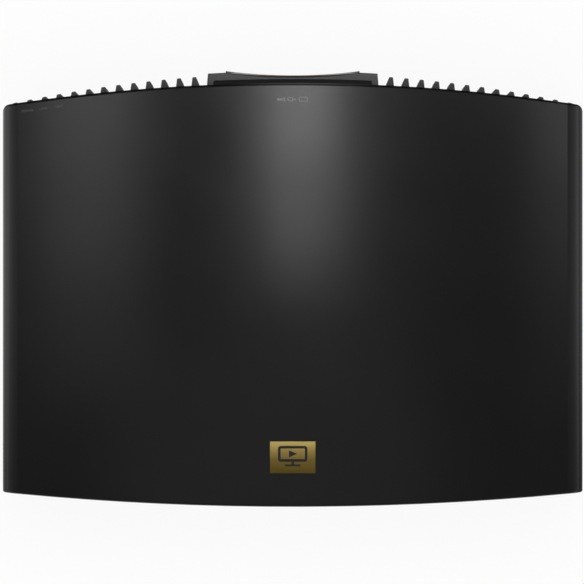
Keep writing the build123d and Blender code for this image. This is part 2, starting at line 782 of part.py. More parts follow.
with BuildPart() as rear_panel:
    with BuildSketch(Plane.XY.offset(sill)):
        add(plan_face(panel_inset))
        add(plan_face(panel_inset + panel_thickness), mode=Mode.SUBTRACT)
    extrude(amount=hood_top - sill)
    with Locations((0, rear_edge(opening_half) - panel_inset - panel_thickness, 0)):
        Box(2 * (opening_half - fit_gap), body_depth, 4 * overall_height,
            align=(Align.CENTER, Align.MIN, Align.CENTER), mode=Mode.INTERSECT)
    for x, width in bays:
        with Locations((x, bay_floor_y - bay_wall, io_bay_z - bay_wall)):
            Box(width + 2 * bay_wall, 2 * bay_depth, io_bay_height + 2 * bay_wall,
                align=(Align.CENTER, Align.MIN, Align.MIN))
    extrude(plan_face(panel_inset), amount=overall_height, mode=Mode.INTERSECT)
    for x, width in bays:
        with Locations((x, bay_floor_y, io_bay_z)):
            Box(width, 2 * bay_depth, io_bay_height,
                align=(Align.CENTER, Align.MIN, Align.MIN), mode=Mode.SUBTRACT)
    with BuildSketch(front_plane(bay_floor_y)):
        for x, size, recess, tongue in box_sockets:
            with Locations((io_bay_x + x, bay_mid_z)):
                Rectangle(size[0] + fit_gap, size[1] + fit_gap)
        for x in phono_places:
            with Locations((io_bay_x + x, bay_mid_z)):
                Circle(phono_radius + fit_gap / 2)
        for x in jack_places:
            with Locations((io_bay_x + x, bay_mid_z)):
                Circle(jack_radius + fit_gap / 2)
        with Locations((ac_bay_x, bay_mid_z)):
            Rectangle(ac_body_width + fit_gap, ac_body_height + fit_gap)
    extrude(amount=2 * bay_wall, both=True, mode=Mode.SUBTRACT)
    with BuildSketch(front_plane(rear_y)):
        with Locations((0, (io_bay_z + io_bay_height + hood_top) / 2)):
            with GridLocations(opening_half * 0.29, slot_pitch, 6, 4):
                SlotOverall(opening_half * 0.25, slot_width)
    extrude(amount=bay_depth - bay_wall, mode=Mode.SUBTRACT)
save(rear_panel.part, "rear_panel")

with BuildPart() as io_sockets:
    for x, size, recess, tongue in box_sockets:
        with BuildSketch(front_plane(socket_back)):
            with Locations((io_bay_x + x, bay_mid_z)):
                Rectangle(*size)
        extrude(amount=socket_length)
        with BuildSketch(front_plane(socket_back)):
            with Locations((io_bay_x + x, bay_mid_z)):
                Rectangle(*recess)
                if tongue:
                    Rectangle(*tongue, mode=Mode.SUBTRACT)
        extrude(amount=socket_recess, mode=Mode.SUBTRACT)
    for x in phono_places:
        with BuildSketch(front_plane(main_board_back)):
            with Locations((io_bay_x + x, bay_mid_z)):
                Circle(phono_radius)
        extrude(amount=-phono_length)
        with BuildSketch(front_plane(main_board_back + phono_length)):
            with Locations((io_bay_x + x, bay_mid_z)):
                Circle(phono_bore)
        extrude(amount=socket_length, mode=Mode.SUBTRACT)
save(io_sockets.part, "io_sockets")

with BuildPart() as jack_sockets:
    with BuildSketch(front_plane(socket_back)):
        for x in jack_places:
            with Locations((io_bay_x + x, bay_mid_z)):
                Circle(jack_radius)
                Circle(jack_bore, mode=Mode.SUBTRACT)
    extrude(amount=socket_length)
save(jack_sockets.part, "jack_sockets")

with BuildPart() as ac_inlet:
    with BuildSketch(front_plane(bay_floor_y)):
        with Locations((ac_bay_x, bay_mid_z)):
            RectangleRounded(ac_flange_width, ac_flange_height, ac_flange_corner)
    extrude(amount=-ac_flange_thickness)
    with BuildSketch(front_plane(bay_floor_y)):
        with Locations((ac_bay_x, bay_mid_z)):
            Rectangle(ac_body_width, ac_body_height)
    extrude(amount=ac_body_length)
    with BuildSketch(front_plane(ac_face_y)):
        with Locations((ac_bay_x, bay_mid_z)):
            RectangleRounded(ac_recess_width, ac_recess_height, ac_recess_corner)
            with Locations((-ac_live_offset, ac_live_rise), (ac_live_offset, ac_live_rise),
                           (0, -ac_earth_drop)):
                Rectangle(ac_pin_width, ac_pin_height, mode=Mode.SUBTRACT)
    extrude(amount=ac_recess_depth, mode=Mode.SUBTRACT)
    with BuildSketch(front_plane(ac_face_y)):
        with Locations((ac_bay_x, bay_mid_z)):
            Rectangle(ac_recess_width, ac_recess_height)
    extrude(amount=ac_pin_setback, mode=Mode.SUBTRACT)
save(ac_inlet.part, "ac_inlet")

with BuildPart() as badge_plate:
    with Locations((0, badge_y, overall_height - badge_thickness)):
        Box(badge_width, badge_depth, badge_thickness, align=LOW)
    chamfer(badge_plate.faces().sort_by(Axis.Z)[-1].edges(), badge_proud / 2)
save(badge_plate.part, "badge_plate")

with BuildPart() as indicator_lights:
    for x in light_places:
        with BuildSketch(front_plane(front_edge(x) + light_length)):
            with Locations((x, light_z)):
                Circle(light_radius)
        extrude(amount=light_length)
save(indicator_lights.part, "indicator_lights")

# Keypad: a sunken plate in the right side with eight sprung keys

pad_mid = (keypad_y - 20, keypad_z)
keys = {
    "ok_button": ("round", pad_mid, ok_radius, 0),
    "up_key": ("arrow", (pad_mid[0], pad_mid[1] + arrow_offset), arrow_size * 0.6, 90),
    "down_key": ("arrow", (pad_mid[0], pad_mid[1] - arrow_offset), arrow_size * 0.6, -90),
    "left_key": ("arrow", (pad_mid[0] - arrow_offset, pad_mid[1]), arrow_size * 0.6, 180),
    "right_key": ("arrow", (pad_mid[0] + arrow_offset, pad_mid[1]), arrow_size * 0.6, 0),
    "menu_button": ("round", (keypad_y + 12, keypad_z + 9), side_button_radius, 0),
    "back_button": ("round", (keypad_y + 12, keypad_z - 9), side_button_radius, 0),
    "power_button": ("round", (keypad_y + 33, keypad_z), power_radius, 0),
}


def key_face(key, grow):
    """Outline of a key on a side plane, grown by grow all round."""
    shape, place, radius, turn = key
    with BuildSketch() as face:
        with Locations(place):
            if shape == "round":
                Circle(radius + grow)
            else:
                RegularPolygon(radius + 2 * grow, 3, rotation=turn)
    return face.sketch


def sprung_key(key):
    """A key that stands proud of the keypad, with a flange behind the plate."""
    with BuildPart() as piece:
        with BuildSketch(side_plane(keypad_back - fit_gap)):
            add(key_face(key, 0))
        extrude(amount=keypad_thickness + fit_gap + button_proud)
        fillet(piece.faces().sort_by(Axis.X)[-1].edges(), 0.5)
        with BuildSketch(side_plane(keypad_back - fit_gap)):
            add(key_face(key, 1.0))
        extrude(amount=-button_flange)
    return piece.part


with BuildPart() as keypad_bezel:
    with BuildSketch(side_plane(keypad_back)):
        with Locations((keypad_y, keypad_z)):
            RectangleRounded(keypad_length, keypad_height, 2)
    extrude(amount=keypad_thickness)
    with BuildSketch(side_plane(keypad_back)):
        with Locations((keypad_y, keypad_z)):
            RectangleRounded(keypad_length + 8, keypad_height + 8, 2)
    extrude(amount=half_width - wall - keypad_back)
    with BuildSketch(side_plane(keypad_back)):
        for key in keys.values():
            add(key_face(key, fit_gap))
    extrude(amount=keypad_thickness, mode=Mode.SUBTRACT)
save(keypad_bezel.part, "keypad_bezel")

with BuildPart() as ok_button:
    add(sprung_key(keys["ok_button"]))
save(ok_button.part, "ok_button")

with BuildPart() as up_key:
    add(sprung_key(keys["up_key"]))
save(up_key.part, "up_key")

with BuildPart() as down_key:
    add(sprung_key(keys["down_key"]))
save(down_key.part, "down_key")

with BuildPart() as left_key:
    add(sprung_key(keys["left_key"]))
save(left_key.part, "left_key")

with BuildPart() as right_key:
    add(sprung_key(keys["right_key"]))
save(right_key.part, "right_key")

with BuildPart() as menu_button:
    add(sprung_key(keys["menu_button"]))
save(menu_button.part, "menu_button")

with BuildPart() as back_button:
    add(sprung_key(keys["back_button"]))
save(back_button.part, "back_button")

with BuildPart() as power_button:
    add(sprung_key(keys["power_button"]))
save(power_button.part, "power_button")

# Feet: two screw feet in front, two fixed rubber feet behind, and the brass inserts

disc_bottom = pad_height + fit_gap
disc_top = disc_bottom + foot_disc_height


def foot_pad(x):
    """Rubber pad under a screw foot, with a socket for the screw's pivot."""
    with BuildPart() as piece:
        with Locations((x, front_foot_y, 0)):
            Cylinder(pad_radius, pad_height, align=LOW)
        chamfer(piece.faces().sort_by(Axis.Z)[0].edges(), 0.8)
        with Locations((x, front_foot_y, pad_height)):
            Cylinder(pivot_radius + running_gap, 2 * (pivot_length + fit_gap), mode=Mode.SUBTRACT)
    return piece.part


def foot_screw(x):
    """Ribbed disc with its stud above and its pivot below."""
    with BuildPart() as piece:
        with Locations((x, front_foot_y, disc_bottom)):
            Cylinder(foot_disc_radius, foot_disc_height, align=LOW)
            with PolarLocations(foot_disc_radius, 24):
                Cylinder(0.7, foot_disc_height, align=LOW, mode=Mode.SUBTRACT)
        with Locations((x, front_foot_y, disc_bottom - pivot_length)):
            Cylinder(pivot_radius, pivot_length, align=LOW)
        with Locations((x, front_foot_y, disc_top)):
            Cylinder(stud_radius, stud_length, align=LOW)
        chamfer(piece.faces().sort_by(Axis.Z)[-1].edges(), 0.8)
    return piece.part


with BuildPart() as left_foot_pad:
    add(foot_pad(-foot_x))
save(left_foot_pad.part, "left_foot_pad")

with BuildPart() as right_foot_pad:
    add(foot_pad(foot_x))
save(right_foot_pad.part, "right_foot_pad")

with BuildPart() as left_foot_screw:
    add(foot_screw(-foot_x))
save(left_foot_screw.part, "left_foot_screw")

with BuildPart() as right_foot_screw:
    add(foot_screw(foot_x))
save(right_foot_screw.part, "right_foot_screw")

with BuildPart() as rear_feet:
    with Locations((-foot_x, rear_foot_y, 0), (foot_x, rear_foot_y, 0)):
        Cylinder(rear_foot_radius, ground_gap, align=LOW)
    chamfer(rear_feet.edges().group_by(Axis.Z)[0], 0.8)
save(rear_feet.part, "rear_feet")

with BuildPart() as threaded_inserts:
    with Locations(*[(x, y, ground_gap) for x, y in foot_places]):
        Cylinder(foot_insert_radius, foot_insert_length, align=LOW)
        Cylinder(stud_radius + running_gap, foot_insert_length, align=LOW, mode=Mode.SUBTRACT)
    with Locations(*[(x, y, ground_gap) for x, y in mount_places]):
        Cylinder(mount_insert_radius, mount_insert_length, align=LOW)
        Cylinder(mount_hole_radius, mount_insert_length, align=LOW, mode=Mode.SUBTRACT)
save(threaded_inserts.part, "threaded_inserts")

# Lens: a barrel with two rings outside and two sliding glass cells inside

barrel_front = lens_front + 2.5
focus_front = barrel_front + shoulder_length + ring_gap
focus_back = focus_front + focus_ring_length
zoom_front = focus_back + shoulder_length + 2 * ring_gap
zoom_back = zoom_front + zoom_ring_length
bore_end = flange_front - 1.0
focus_cell_front = lens_front + 1.0
zoom_cell_front = lens_front + zoom_cell_setback

with BuildPart() as lens_barrel:
    with BuildSketch(lens_plane):
        with BuildLine():
            Polyline((barrel_bore, barrel_front), (shoulder_radius, barrel_front),
                     (shoulder_radius, focus_front - ring_gap), (barrel_radius, focus_front - ring_gap),
                     (barrel_radius, focus_back + ring_gap), (shoulder_radius, focus_back + ring_gap),
                     (shoulder_radius, zoom_front - ring_gap), (barrel_radius, zoom_front - ring_gap),
                     (barrel_radius, zoom_back + ring_gap), (shoulder_radius, zoom_back + ring_gap),
                     (shoulder_radius, zoom_back + ring_gap + shoulder_length),
                     (barrel_radius, zoom_back + ring_gap + shoulder_length), (barrel_radius, flange_front),
                     (flange_radius, flange_front), (flange_radius, h_plate_front),
                     (tail_radius, h_plate_front),
                     (tail_radius, barrel_front + barrel_length), (tail_bore, barrel_front + barrel_length),
                     (tail_bore, bore_end), (barrel_bore, bore_end), close=True)
        make_face()
    revolve(axis=lens_axis)
    with BuildSketch(front_plane(h_plate_front)):
        with Locations((0, lens_height)):
            with PolarLocations((barrel_radius + flange_radius) / 2, 4, start_angle=45):
                Circle(screw_radius)
    extrude(amount=1.2 * flange_thickness, mode=Mode.SUBTRACT)
save(lens_barrel.part, "lens_barrel")


def grip_ring(front, length):
    """A ring that turns on the barrel, with grip grooves round its outside."""
    with BuildPart() as piece:
        with BuildSketch(front_plane(front + length)):
            with Locations((0, lens_height)):
                Circle(ring_radius)
                Circle(barrel_radius + running_gap, mode=Mode.SUBTRACT)
        extrude(amount=length)
        with BuildSketch(front_plane(front + length * 0.88)):
            with Locations((0, lens_height)):
                with PolarLocations(ring_radius, rib_count):
                    Rectangle(2 * rib_depth, 1.8 * rib_depth)
        extrude(amount=length * 0.76, mode=Mode.SUBTRACT)
    return piece.part


with BuildPart() as focus_ring:
    add(grip_ring(focus_front, focus_ring_length))
save(focus_ring.part, "focus_ring")

with BuildPart() as zoom_ring:
    add(grip_ring(zoom_front, zoom_ring_length))
    with BuildSketch(front_plane(zoom_back - 2)):
        with Locations((0, lens_height + ring_radius - 2)):
            Rectangle(zoom_lever_width, zoom_lever_reach + 2, align=(Align.CENTER, Align.MIN))
    extrude(amount=zoom_ring_length - 4)
save(zoom_ring.part, "zoom_ring")


def glass_cell(front, length, glass_radius):
    """A tube that slides in the barrel, with a seat for one glass."""
    with BuildPart() as piece:
        with BuildSketch(lens_plane):
            with BuildLine():
                Polyline((glass_radius, front), (barrel_bore - running_gap, front),
                         (barrel_bore - running_gap, front + length), (glass_radius - 1.5, front + length),
                         (glass_radius - 1.5, front + glass_seat), (glass_radius, front + glass_seat),
                         close=True)
            make_face()
        revolve(axis=lens_axis)
    return piece.part


def glass(front, glass_radius):
    """A glass that is bulged on both sides, seated in its cell."""
    flat = glass_radius - 2.0
    rim = front + glass_rim
    seat = front + glass_seat
    front_curve = (glass_radius**2 + glass_bulge**2) / (2 * glass_bulge)
    back_curve = (flat**2 + (glass_bulge / 2) ** 2) / glass_bulge
    with BuildPart() as piece:
        with BuildSketch(lens_plane):
            with BuildLine():
                Line((0, seat + glass_bulge / 2), (0, rim - glass_bulge))
                RadiusArc((0, rim - glass_bulge), (glass_radius, rim), -front_curve)
                Polyline((glass_radius, rim), (glass_radius, seat), (flat, seat))
                RadiusArc((flat, seat), (0, seat + glass_bulge / 2), -back_curve)
            make_face()
        revolve(axis=lens_axis)
    return piece.part


with BuildPart() as focus_cell:
    add(glass_cell(focus_cell_front, cell_length, front_glass_radius))
save(focus_cell.part, "focus_cell")

with BuildPart() as front_element:
    add(glass(focus_cell_front, front_glass_radius))
save(front_element.part, "front_element")

with BuildPart() as zoom_cell:
    add(glass_cell(zoom_cell_front, zoom_cell_length, zoom_glass_radius))
save(zoom_cell.part, "zoom_cell")

with BuildPart() as zoom_element:
    add(glass(zoom_cell_front, zoom_glass_radius))
save(zoom_element.part, "zoom_element")

# Lens shift: two crossed slides, each driven by a knob's pinion and a rack

tooth_height = tooth_addendum + tooth_dedendum
tooth_slope = math.tan(math.radians(flank_angle))
tooth_root_half = tooth_thickness / 2 + tooth_dedendum * tooth_slope
tooth_tip_half = tooth_thickness / 2 - tooth_addendum * tooth_slope
rack_pitch = math.pi * gear_module
pinion_tip = pitch_radius + tooth_addendum
v_rack_root = -knob_x + pitch_radius + tooth_dedendum
h_rack_root = knob_z + pitch_radius + tooth_dedendum
carriage_half_x = knob_x + 12.5
carriage_top = lens_height + flange_radius + 12.0
carriage_bottom = knob_z - pinion_tip - 3.5
base_half_x = carriage_half_x + 8.0
base_top = carriage_top + v_travel
base_bottom = carriage_bottom - v_travel
notch_top = knob_z + pinion_tip + v_travel + 1.5
h_disc_radius = flange_radius + 4.0
v_hole_radius = tail_radius + h_travel + 1.0
base_hole_radius = tail_radius + h_travel + v_travel
v_guide_x = carriage_half_x - 6.0
h_guide_z = h_disc_radius - 7.0


def tooth():
    """One gear tooth that points along local X from the root line."""
    with BuildSketch() as face:
        Polygon((-0.3, -tooth_root_half), (tooth_height, -tooth_tip_half), (tooth_height, tooth_tip_half),
                (-0.3, tooth_root_half), align=None)
    return face.sketch


def rack_places(middle):
    """Places of six teeth with a gap at the middle."""
    return [middle + (k - 2.5) * rack_pitch for k in range(6)]


with BuildPart() as shift_base:
    with BuildSketch(front_plane(engine_front)):
        with Locations((0, base_bottom)):
            Rectangle(2 * base_half_x, base_top - base_bottom, align=(Align.CENTER, Align.MIN))
        with Locations((0, lens_height)):
            Circle(base_hole_radius, mode=Mode.SUBTRACT)
        with Locations((-knob_x, knob_z)):
            Circle(shaft_radius + running_gap, mode=Mode.SUBTRACT)
    extrude(amount=plate_thickness)
    with BuildSketch(front_plane(base_front)):
        with Locations((-v_guide_x, notch_top), (v_guide_x, notch_top)):
            Rectangle(guide_width, base_top - notch_top, align=(Align.CENTER, Align.MIN))
    extrude(amount=guide_depth)
save(shift_base.part, "shift_base")

with BuildPart() as v_shift_carriage:
    with BuildSketch(front_plane(base_front - plate_gap)):
        with Locations((0, carriage_bottom)):
            Rectangle(2 * carriage_half_x, carriage_top - carriage_bottom, align=(Align.CENTER, Align.MIN))
        with Locations((0, lens_height)):
            Circle(v_hole_radius, mode=Mode.SUBTRACT)
        with Locations((v_rack_root, notch_top)):
            Rectangle(carriage_half_x, notch_top, align=(Align.MAX, Align.MAX), mode=Mode.SUBTRACT)
        for z in rack_places(knob_z):
            with Locations(Location((v_rack_root, z), 180)):
                add(tooth())
        with Locations((knob_x, knob_z)):
            Circle(shaft_radius + running_gap, mode=Mode.SUBTRACT)
    extrude(amount=plate_thickness)
    with BuildSketch(front_plane(base_front - plate_gap)):
        with Locations((-v_guide_x, lens_height), (v_guide_x, lens_height)):
            Rectangle(guide_width + 2 * running_gap, 2 * overall_height)
    extrude(amount=guide_depth, mode=Mode.SUBTRACT)
    with BuildSketch(front_plane(v_plate_front)):
        with Locations((0, lens_height - h_guide_z), (0, lens_height + h_guide_z)):
            Rectangle(1.2 * h_disc_radius, guide_width)
    extrude(amount=guide_depth)
save(v_shift_carriage.part, "v_shift_carriage")

with BuildPart() as h_shift_carriage:
    with BuildSketch(front_plane(v_plate_front - plate_gap)):
        with Locations((0, lens_height)):
            Circle(h_disc_radius)
        with Locations((knob_x + 8, h_rack_root)):
            Rectangle(24, lens_height - 0.4 * h_disc_radius - h_rack_root, align=(Align.MAX, Align.MIN))
        with Locations((0, lens_height)):
            Circle(tail_radius, mode=Mode.SUBTRACT)
        for x in rack_places(knob_x):
            with Locations(Location((x, h_rack_root), -90)):
                add(tooth())
    extrude(amount=plate_thickness)
    with BuildSketch(front_plane(v_plate_front - plate_gap)):
        with Locations((0, lens_height - h_guide_z), (0, lens_height + h_guide_z)):
            Rectangle(4 * h_disc_radius, guide_width + 2 * running_gap)
    extrude(amount=guide_depth, mode=Mode.SUBTRACT)
save(h_shift_carriage.part, "h_shift_carriage")


def shift_knob(x, pinion_front, shaft_end):
    """Knob, shaft and pinion in one piece."""
    with BuildPart() as piece:
        with BuildSketch(front_plane(knob_front + knob_length)):
            with Locations((x, knob_z)):
                Circle(knob_radius)
                with PolarLocations(knob_radius, 18):
                    Circle(0.6, mode=Mode.SUBTRACT)
        extrude(amount=knob_length)
        with BuildSketch(front_plane(knob_front)):
            with Locations((x, knob_z)):
                Rectangle(1.2, 1.6 * knob_radius)
        extrude(amount=-1.5, mode=Mode.SUBTRACT)
        with BuildSketch(front_plane(shaft_end)):
            with Locations((x, knob_z)):
                Circle(shaft_radius)
        extrude(amount=shaft_end - knob_front - knob_length)
        with BuildSketch(front_plane(pinion_front + plate_thickness)):
            with Locations((x, knob_z)):
                Circle(pitch_radius - tooth_dedendum)
                with PolarLocations(pitch_radius - tooth_dedendum, pinion_teeth):
                    add(tooth())
        extrude(amount=plate_thickness)
    return piece.part


with BuildPart() as v_shift_knob:
    add(shift_knob(-knob_x, v_plate_front, engine_front - fit_gap))
save(v_shift_knob.part, "v_shift_knob")

with BuildPart() as h_shift_knob:
    add(shift_knob(knob_x, h_plate_front, base_front - 2 * plate_gap))
save(h_shift_knob.part, "h_shift_knob")

# Light engine: a housing with the prism, the mirror chip's board, relay glasses and light tunnel

engine_mid_y = (engine_front + engine_back) / 2
relay_start = prism_size / 2 + 5.0
relay_end = relay_start + 2 * relay_thickness + 4.0
tunnel_start = engine_half_width - engine_wall - prism_size / 2
tunnel_end = tunnel_start + tunnel_length
engine_legs = [(sx * (engine_half_width - 8), y) for sx in (-1, 1)
               for y in (engine_front + 8, engine_back - 8)]

with BuildPart() as engine_housing:
    with Locations((0, engine_mid_y, lens_height)):
        Box(2 * engine_half_width, engine_length, engine_height)
        Box(2 * (engine_half_width - engine_wall), engine_length - 2 * engine_wall,
            engine_height - 2 * engine_wall, mode=Mode.SUBTRACT)
    with BuildSketch(front_plane(engine_front)):
        with Locations((0, lens_height)):
            Circle(base_hole_radius)
    extrude(amount=-2 * engine_wall, mode=Mode.SUBTRACT)
    with BuildSketch(front_plane(engine_back)):
        with Locations((0, lens_height)):
            Rectangle(chip_width + 4, chip_height + 4)
    extrude(amount=2 * engine_wall, mode=Mode.SUBTRACT)
    with BuildSketch(side_plane(engine_half_width)):
        with Locations((prism_y, lens_height)):
            Rectangle(tunnel_size + 2 * fit_gap, tunnel_size + 2 * fit_gap)
    extrude(amount=-2 * engine_wall, mode=Mode.SUBTRACT)
    with Locations(*[(x, y, floor_top) for x, y in engine_legs]):
        Cylinder(leg_radius, engine_bottom - floor_top + engine_wall / 2, align=LOW)
    with Locations((0, prism_y, engine_bottom + engine_wall / 2)):
        Box(prism_size - 4, prism_size - 4,
            lens_height - prism_size / 2 - engine_bottom - engine_wall / 2, align=LOW)
    with Locations(((relay_start + relay_end) / 2, prism_y, engine_bottom + engine_wall / 2)):
        Box(relay_end - relay_start, 2 * relay_radius + 10,
            lens_height + relay_radius + 5 - engine_bottom - engine_wall / 2, align=LOW)
    with BuildSketch(side_plane(relay_end)):
        with Locations((prism_y, lens_height)):
            Circle(relay_radius)
    extrude(amount=relay_start - relay_end, mode=Mode.SUBTRACT)
save(engine_housing.part, "engine_housing")

with BuildPart() as prism:
    with Locations((0, prism_y, lens_height)):
        Box(prism_size, prism_size, prism_size)
        Box(2 * prism_size, prism_gap, 2 * prism_size, rotation=(0, 0, 45), mode=Mode.SUBTRACT)
save(prism.part, "prism")

with BuildPart() as relay_lenses:
    for x in (relay_start, relay_end - relay_thickness):
        with BuildSketch(side_plane(x)):
            with Locations((prism_y, lens_height)):
                Circle(relay_radius)
        extrude(amount=relay_thickness)
save(relay_lenses.part, "relay_lenses")

with BuildPart() as light_tunnel:
    with BuildSketch(side_plane(tunnel_start)):
        with Locations((prism_y, lens_height)):
            Rectangle(tunnel_size, tunnel_size)
    extrude(amount=tunnel_length)
    with BuildSketch(side_plane(engine_half_width)):
        with Locations((prism_y, lens_height)):
            Rectangle(tunnel_flange, tunnel_flange)
    extrude(amount=engine_wall)
    with BuildSketch(side_plane(tunnel_start)):
        with Locations((prism_y, lens_height)):
            Rectangle(tunnel_bore, tunnel_bore)
    extrude(amount=tunnel_length, mode=Mode.SUBTRACT)
save(light_tunnel.part, "light_tunnel")

with BuildPart() as dmd_board:
    with BuildSketch(front_plane(engine_back + board_thickness)):
        with Locations((0, lens_height)):
            Rectangle(heatsink_width - 10, heatsink_height - 14)
    extrude(amount=board_thickness)
    with BuildSketch(front_plane(engine_back)):
        with Locations((0, lens_height)):
            Rectangle(chip_width, chip_height)
    extrude(amount=engine_wall - 0.5)
save(dmd_board.part, "dmd_board")

with BuildPart() as dmd_heatsink:
    with Locations((0, engine_back + board_thickness, lens_height)):
        Box(heatsink_width, 5, heatsink_height, align=(Align.CENTER, Align.MIN, Align.CENTER))
        with GridLocations(heatsink_width / heatsink_fins, 1, heatsink_fins, 1):
            Box(heatsink_fin_thickness, heatsink_depth, heatsink_height,
                align=(Align.CENTER, Align.MIN, Align.CENTER))
save(dmd_heatsink.part, "dmd_heatsink")

# Colour wheel, its motor, and the lamp

motor_front = wheel_x + wheel_thickness + 2.0 + fit_gap

with BuildPart() as color_wheel:
    with BuildSketch(side_plane(wheel_x)):
        with Locations((prism_y, wheel_z)):
            Circle(wheel_radius)
    extrude(amount=wheel_thickness)
    with BuildSketch(side_plane(wheel_x - 1)):
        with Locations((prism_y, wheel_z)):
            Circle(wheel_radius / 3)
    extrude(amount=wheel_thickness + 3)
save(color_wheel.part, "color_wheel")

with BuildPart() as color_wheel_motor:
    with BuildSketch(side_plane(motor_front)):
        with Locations((prism_y, wheel_z)):
            Circle(motor_radius)
    extrude(amount=motor_length)
    with Locations((motor_front + motor_length / 2, prism_y, floor_top)):
        Box(motor_length / 2, 2 * motor_radius, wheel_z - floor_top, align=LOW)
        Box(motor_length, 3 * motor_radius, 3, align=LOW)
save(color_wheel_motor.part, "color_wheel_motor")

lamp_axis = Axis((0, lamp_y, lens_height), (1, 0, 0))
rim_x = lamp_front_x + lamp_wall

with BuildPart() as lamp_housing:
    with Locations((lamp_mid_x, lamp_y, lens_height)):
        Box(lamp_length, lamp_width, lamp_height)
        Box(lamp_length - 2 * lamp_wall, lamp_width - 2 * lamp_wall, lamp_height - 2 * lamp_wall,
            mode=Mode.SUBTRACT)
    with BuildSketch(side_plane(lamp_front_x)):
        with Locations((lamp_y, lens_height)):
            Circle(reflector_radius - 2)
    extrude(amount=2 * lamp_wall, mode=Mode.SUBTRACT)
    with BuildSketch(front_plane(lamp_y)):
        with Locations((lamp_mid_x, lens_height)):
            with GridLocations(slot_pitch, slot_pitch, 5, 1):
                SlotOverall(lamp_height * 0.6, slot_width, rotation=90)
    extrude(amount=lamp_width, both=True, mode=Mode.SUBTRACT)
save(lamp_housing.part, "lamp_housing")

with BuildPart() as lamp_reflector:
    with BuildSketch(lens_plane):
        with BuildLine():
            rim = lamp_y + reflector_radius
            neck_x = rim_x + reflector_depth
            neck = lamp_y + burner_radius
            Polyline((neck_x, neck), (neck_x, neck + reflector_wall))
            ThreePointArc((neck_x, neck + reflector_wall),
                          (rim_x + reflector_depth * 0.66, lamp_y + reflector_radius * 0.7),
                          (rim_x + reflector_wall, rim))
            Polyline((rim_x + reflector_wall, rim), (rim_x + reflector_wall, rim + 2), (rim_x, rim + 2),
                     (rim_x, rim - reflector_wall))
            ThreePointArc((rim_x, rim - reflector_wall),
                          (rim_x + reflector_depth * 0.6, lamp_y + reflector_radius * 0.62),
                          (neck_x - 1, neck))
            Line((neck_x - 1, neck), (neck_x, neck))
        make_face()
    revolve(axis=lamp_axis)
    with BuildSketch(side_plane(rim_x + reflector_depth / 3)):
        with Locations((lamp_y, lens_height)):
            Circle(burner_radius)
    extrude(amount=reflector_depth * 0.9)
save(lamp_reflector.part, "lamp_reflector")

# Fans behind the grilles


def fan_frame(x):
    """Square fan frame with a round duct and four struts to the motor's seat."""
    with BuildPart() as piece:
        with Locations((x, fan_mid_y, lens_height)):
            Box(fan_size, fan_depth, fan_size)
        with BuildSketch(front_plane(fan_front + fan_depth)):
            with Locations((x, lens_height)):
                Circle(fan_duct_radius)
        extrude(amount=fan_depth, mode=Mode.SUBTRACT)
        with BuildSketch(front_plane(fan_front + fan_depth)):
            with Locations((x, lens_height)):
                Circle(fan_hub_radius)
                Rectangle(2 * fan_duct_radius + 1, 3)
                Rectangle(3, 2 * fan_duct_radius + 1)
        extrude(amount=3)
        with BuildSketch(front_plane(fan_front)):
            with Locations((x, lens_height)):
                with GridLocations(fan_size - 8.5, fan_size - 8.5, 2, 2):
                    Circle(2.2)
        extrude(amount=-fan_depth, mode=Mode.SUBTRACT)
    return piece.part


def fan_rotor(x):
    """Fan hub with pitched blades."""
    blade_chord = 0.94 * fan_hub_radius
    blade_end = math.sqrt((fan_duct_radius - fan_tip_gap) ** 2 - (blade_chord / 2) ** 2)
    hub_length = fan_depth - 3 - 3 * fit_gap
    with BuildPart() as piece:
        with BuildSketch(front_plane(fan_front + fit_gap + hub_length)):
            with Locations((x, lens_height)):
                Circle(fan_hub_radius)
        extrude(amount=hub_length)
        for i in range(fan_blades):
            angle = 2 * math.pi * i / fan_blades
            outward = (math.cos(angle), 0, math.sin(angle))
            across = (-math.sin(angle), 0, math.cos(angle))
            middle = (x, fan_front + fit_gap + hub_length / 2, lens_height)
            with BuildSketch(Plane(origin=middle, x_dir=across, z_dir=outward).offset(fan_hub_radius - 2)):
                Rectangle(blade_chord, fan_blade_thickness, rotation=fan_blade_pitch)
            extrude(amount=blade_end - fan_hub_radius + 2)
    return piece.part


with BuildPart() as left_fan_frame:
    add(fan_frame(-fan_x))
save(left_fan_frame.part, "left_fan_frame")

with BuildPart() as right_fan_frame:
    add(fan_frame(fan_x))
save(right_fan_frame.part, "right_fan_frame")

with BuildPart() as left_fan_rotor:
    add(fan_rotor(-fan_x))
save(left_fan_rotor.part, "left_fan_rotor")

with BuildPart() as right_fan_rotor:
    add(fan_rotor(fan_x))
save(right_fan_rotor.part, "right_fan_rotor")

# Boards

main_board_height = io_bay_height + 2 * board_margin

with BuildPart() as main_board:
    with BuildSketch(front_plane(main_board_back)):
        with Locations((io_bay_x, main_board_bottom + main_board_height / 2)):
            Rectangle(io_bay_width + 2 * board_margin, main_board_height)
    extrude(amount=board_thickness)
    with BuildSketch(front_plane(main_board_back - board_thickness)):
        for dx, dz in main_chips:
            with Locations((io_bay_x + dx, bay_mid_z + dz)):
                Rectangle(chip_size, chip_size)
        for dx, dz in memory_chips:
            with Locations((io_bay_x + dx, bay_mid_z + dz)):
                Rectangle(memory_width, memory_height)
    extrude(amount=chip_thickness)
save(main_board.part, "main_board")

with BuildPart() as psu_board:
    with Locations((psu_mid_x, psu_mid_y, board_z)):
        Box(psu_width, psu_length, board_thickness, align=LOW)
    with Locations((psu_mid_x, psu_mid_y, board_z + board_thickness / 2)):
        for places, size in (psu_transformers, psu_heat_sink):
            with Locations(*places):
                Box(*size, align=LOW)
        for places, size in (psu_tall_caps, psu_low_caps):
            with Locations(*places):
                Cylinder(*size, align=LOW)
save(psu_board.part, "psu_board")

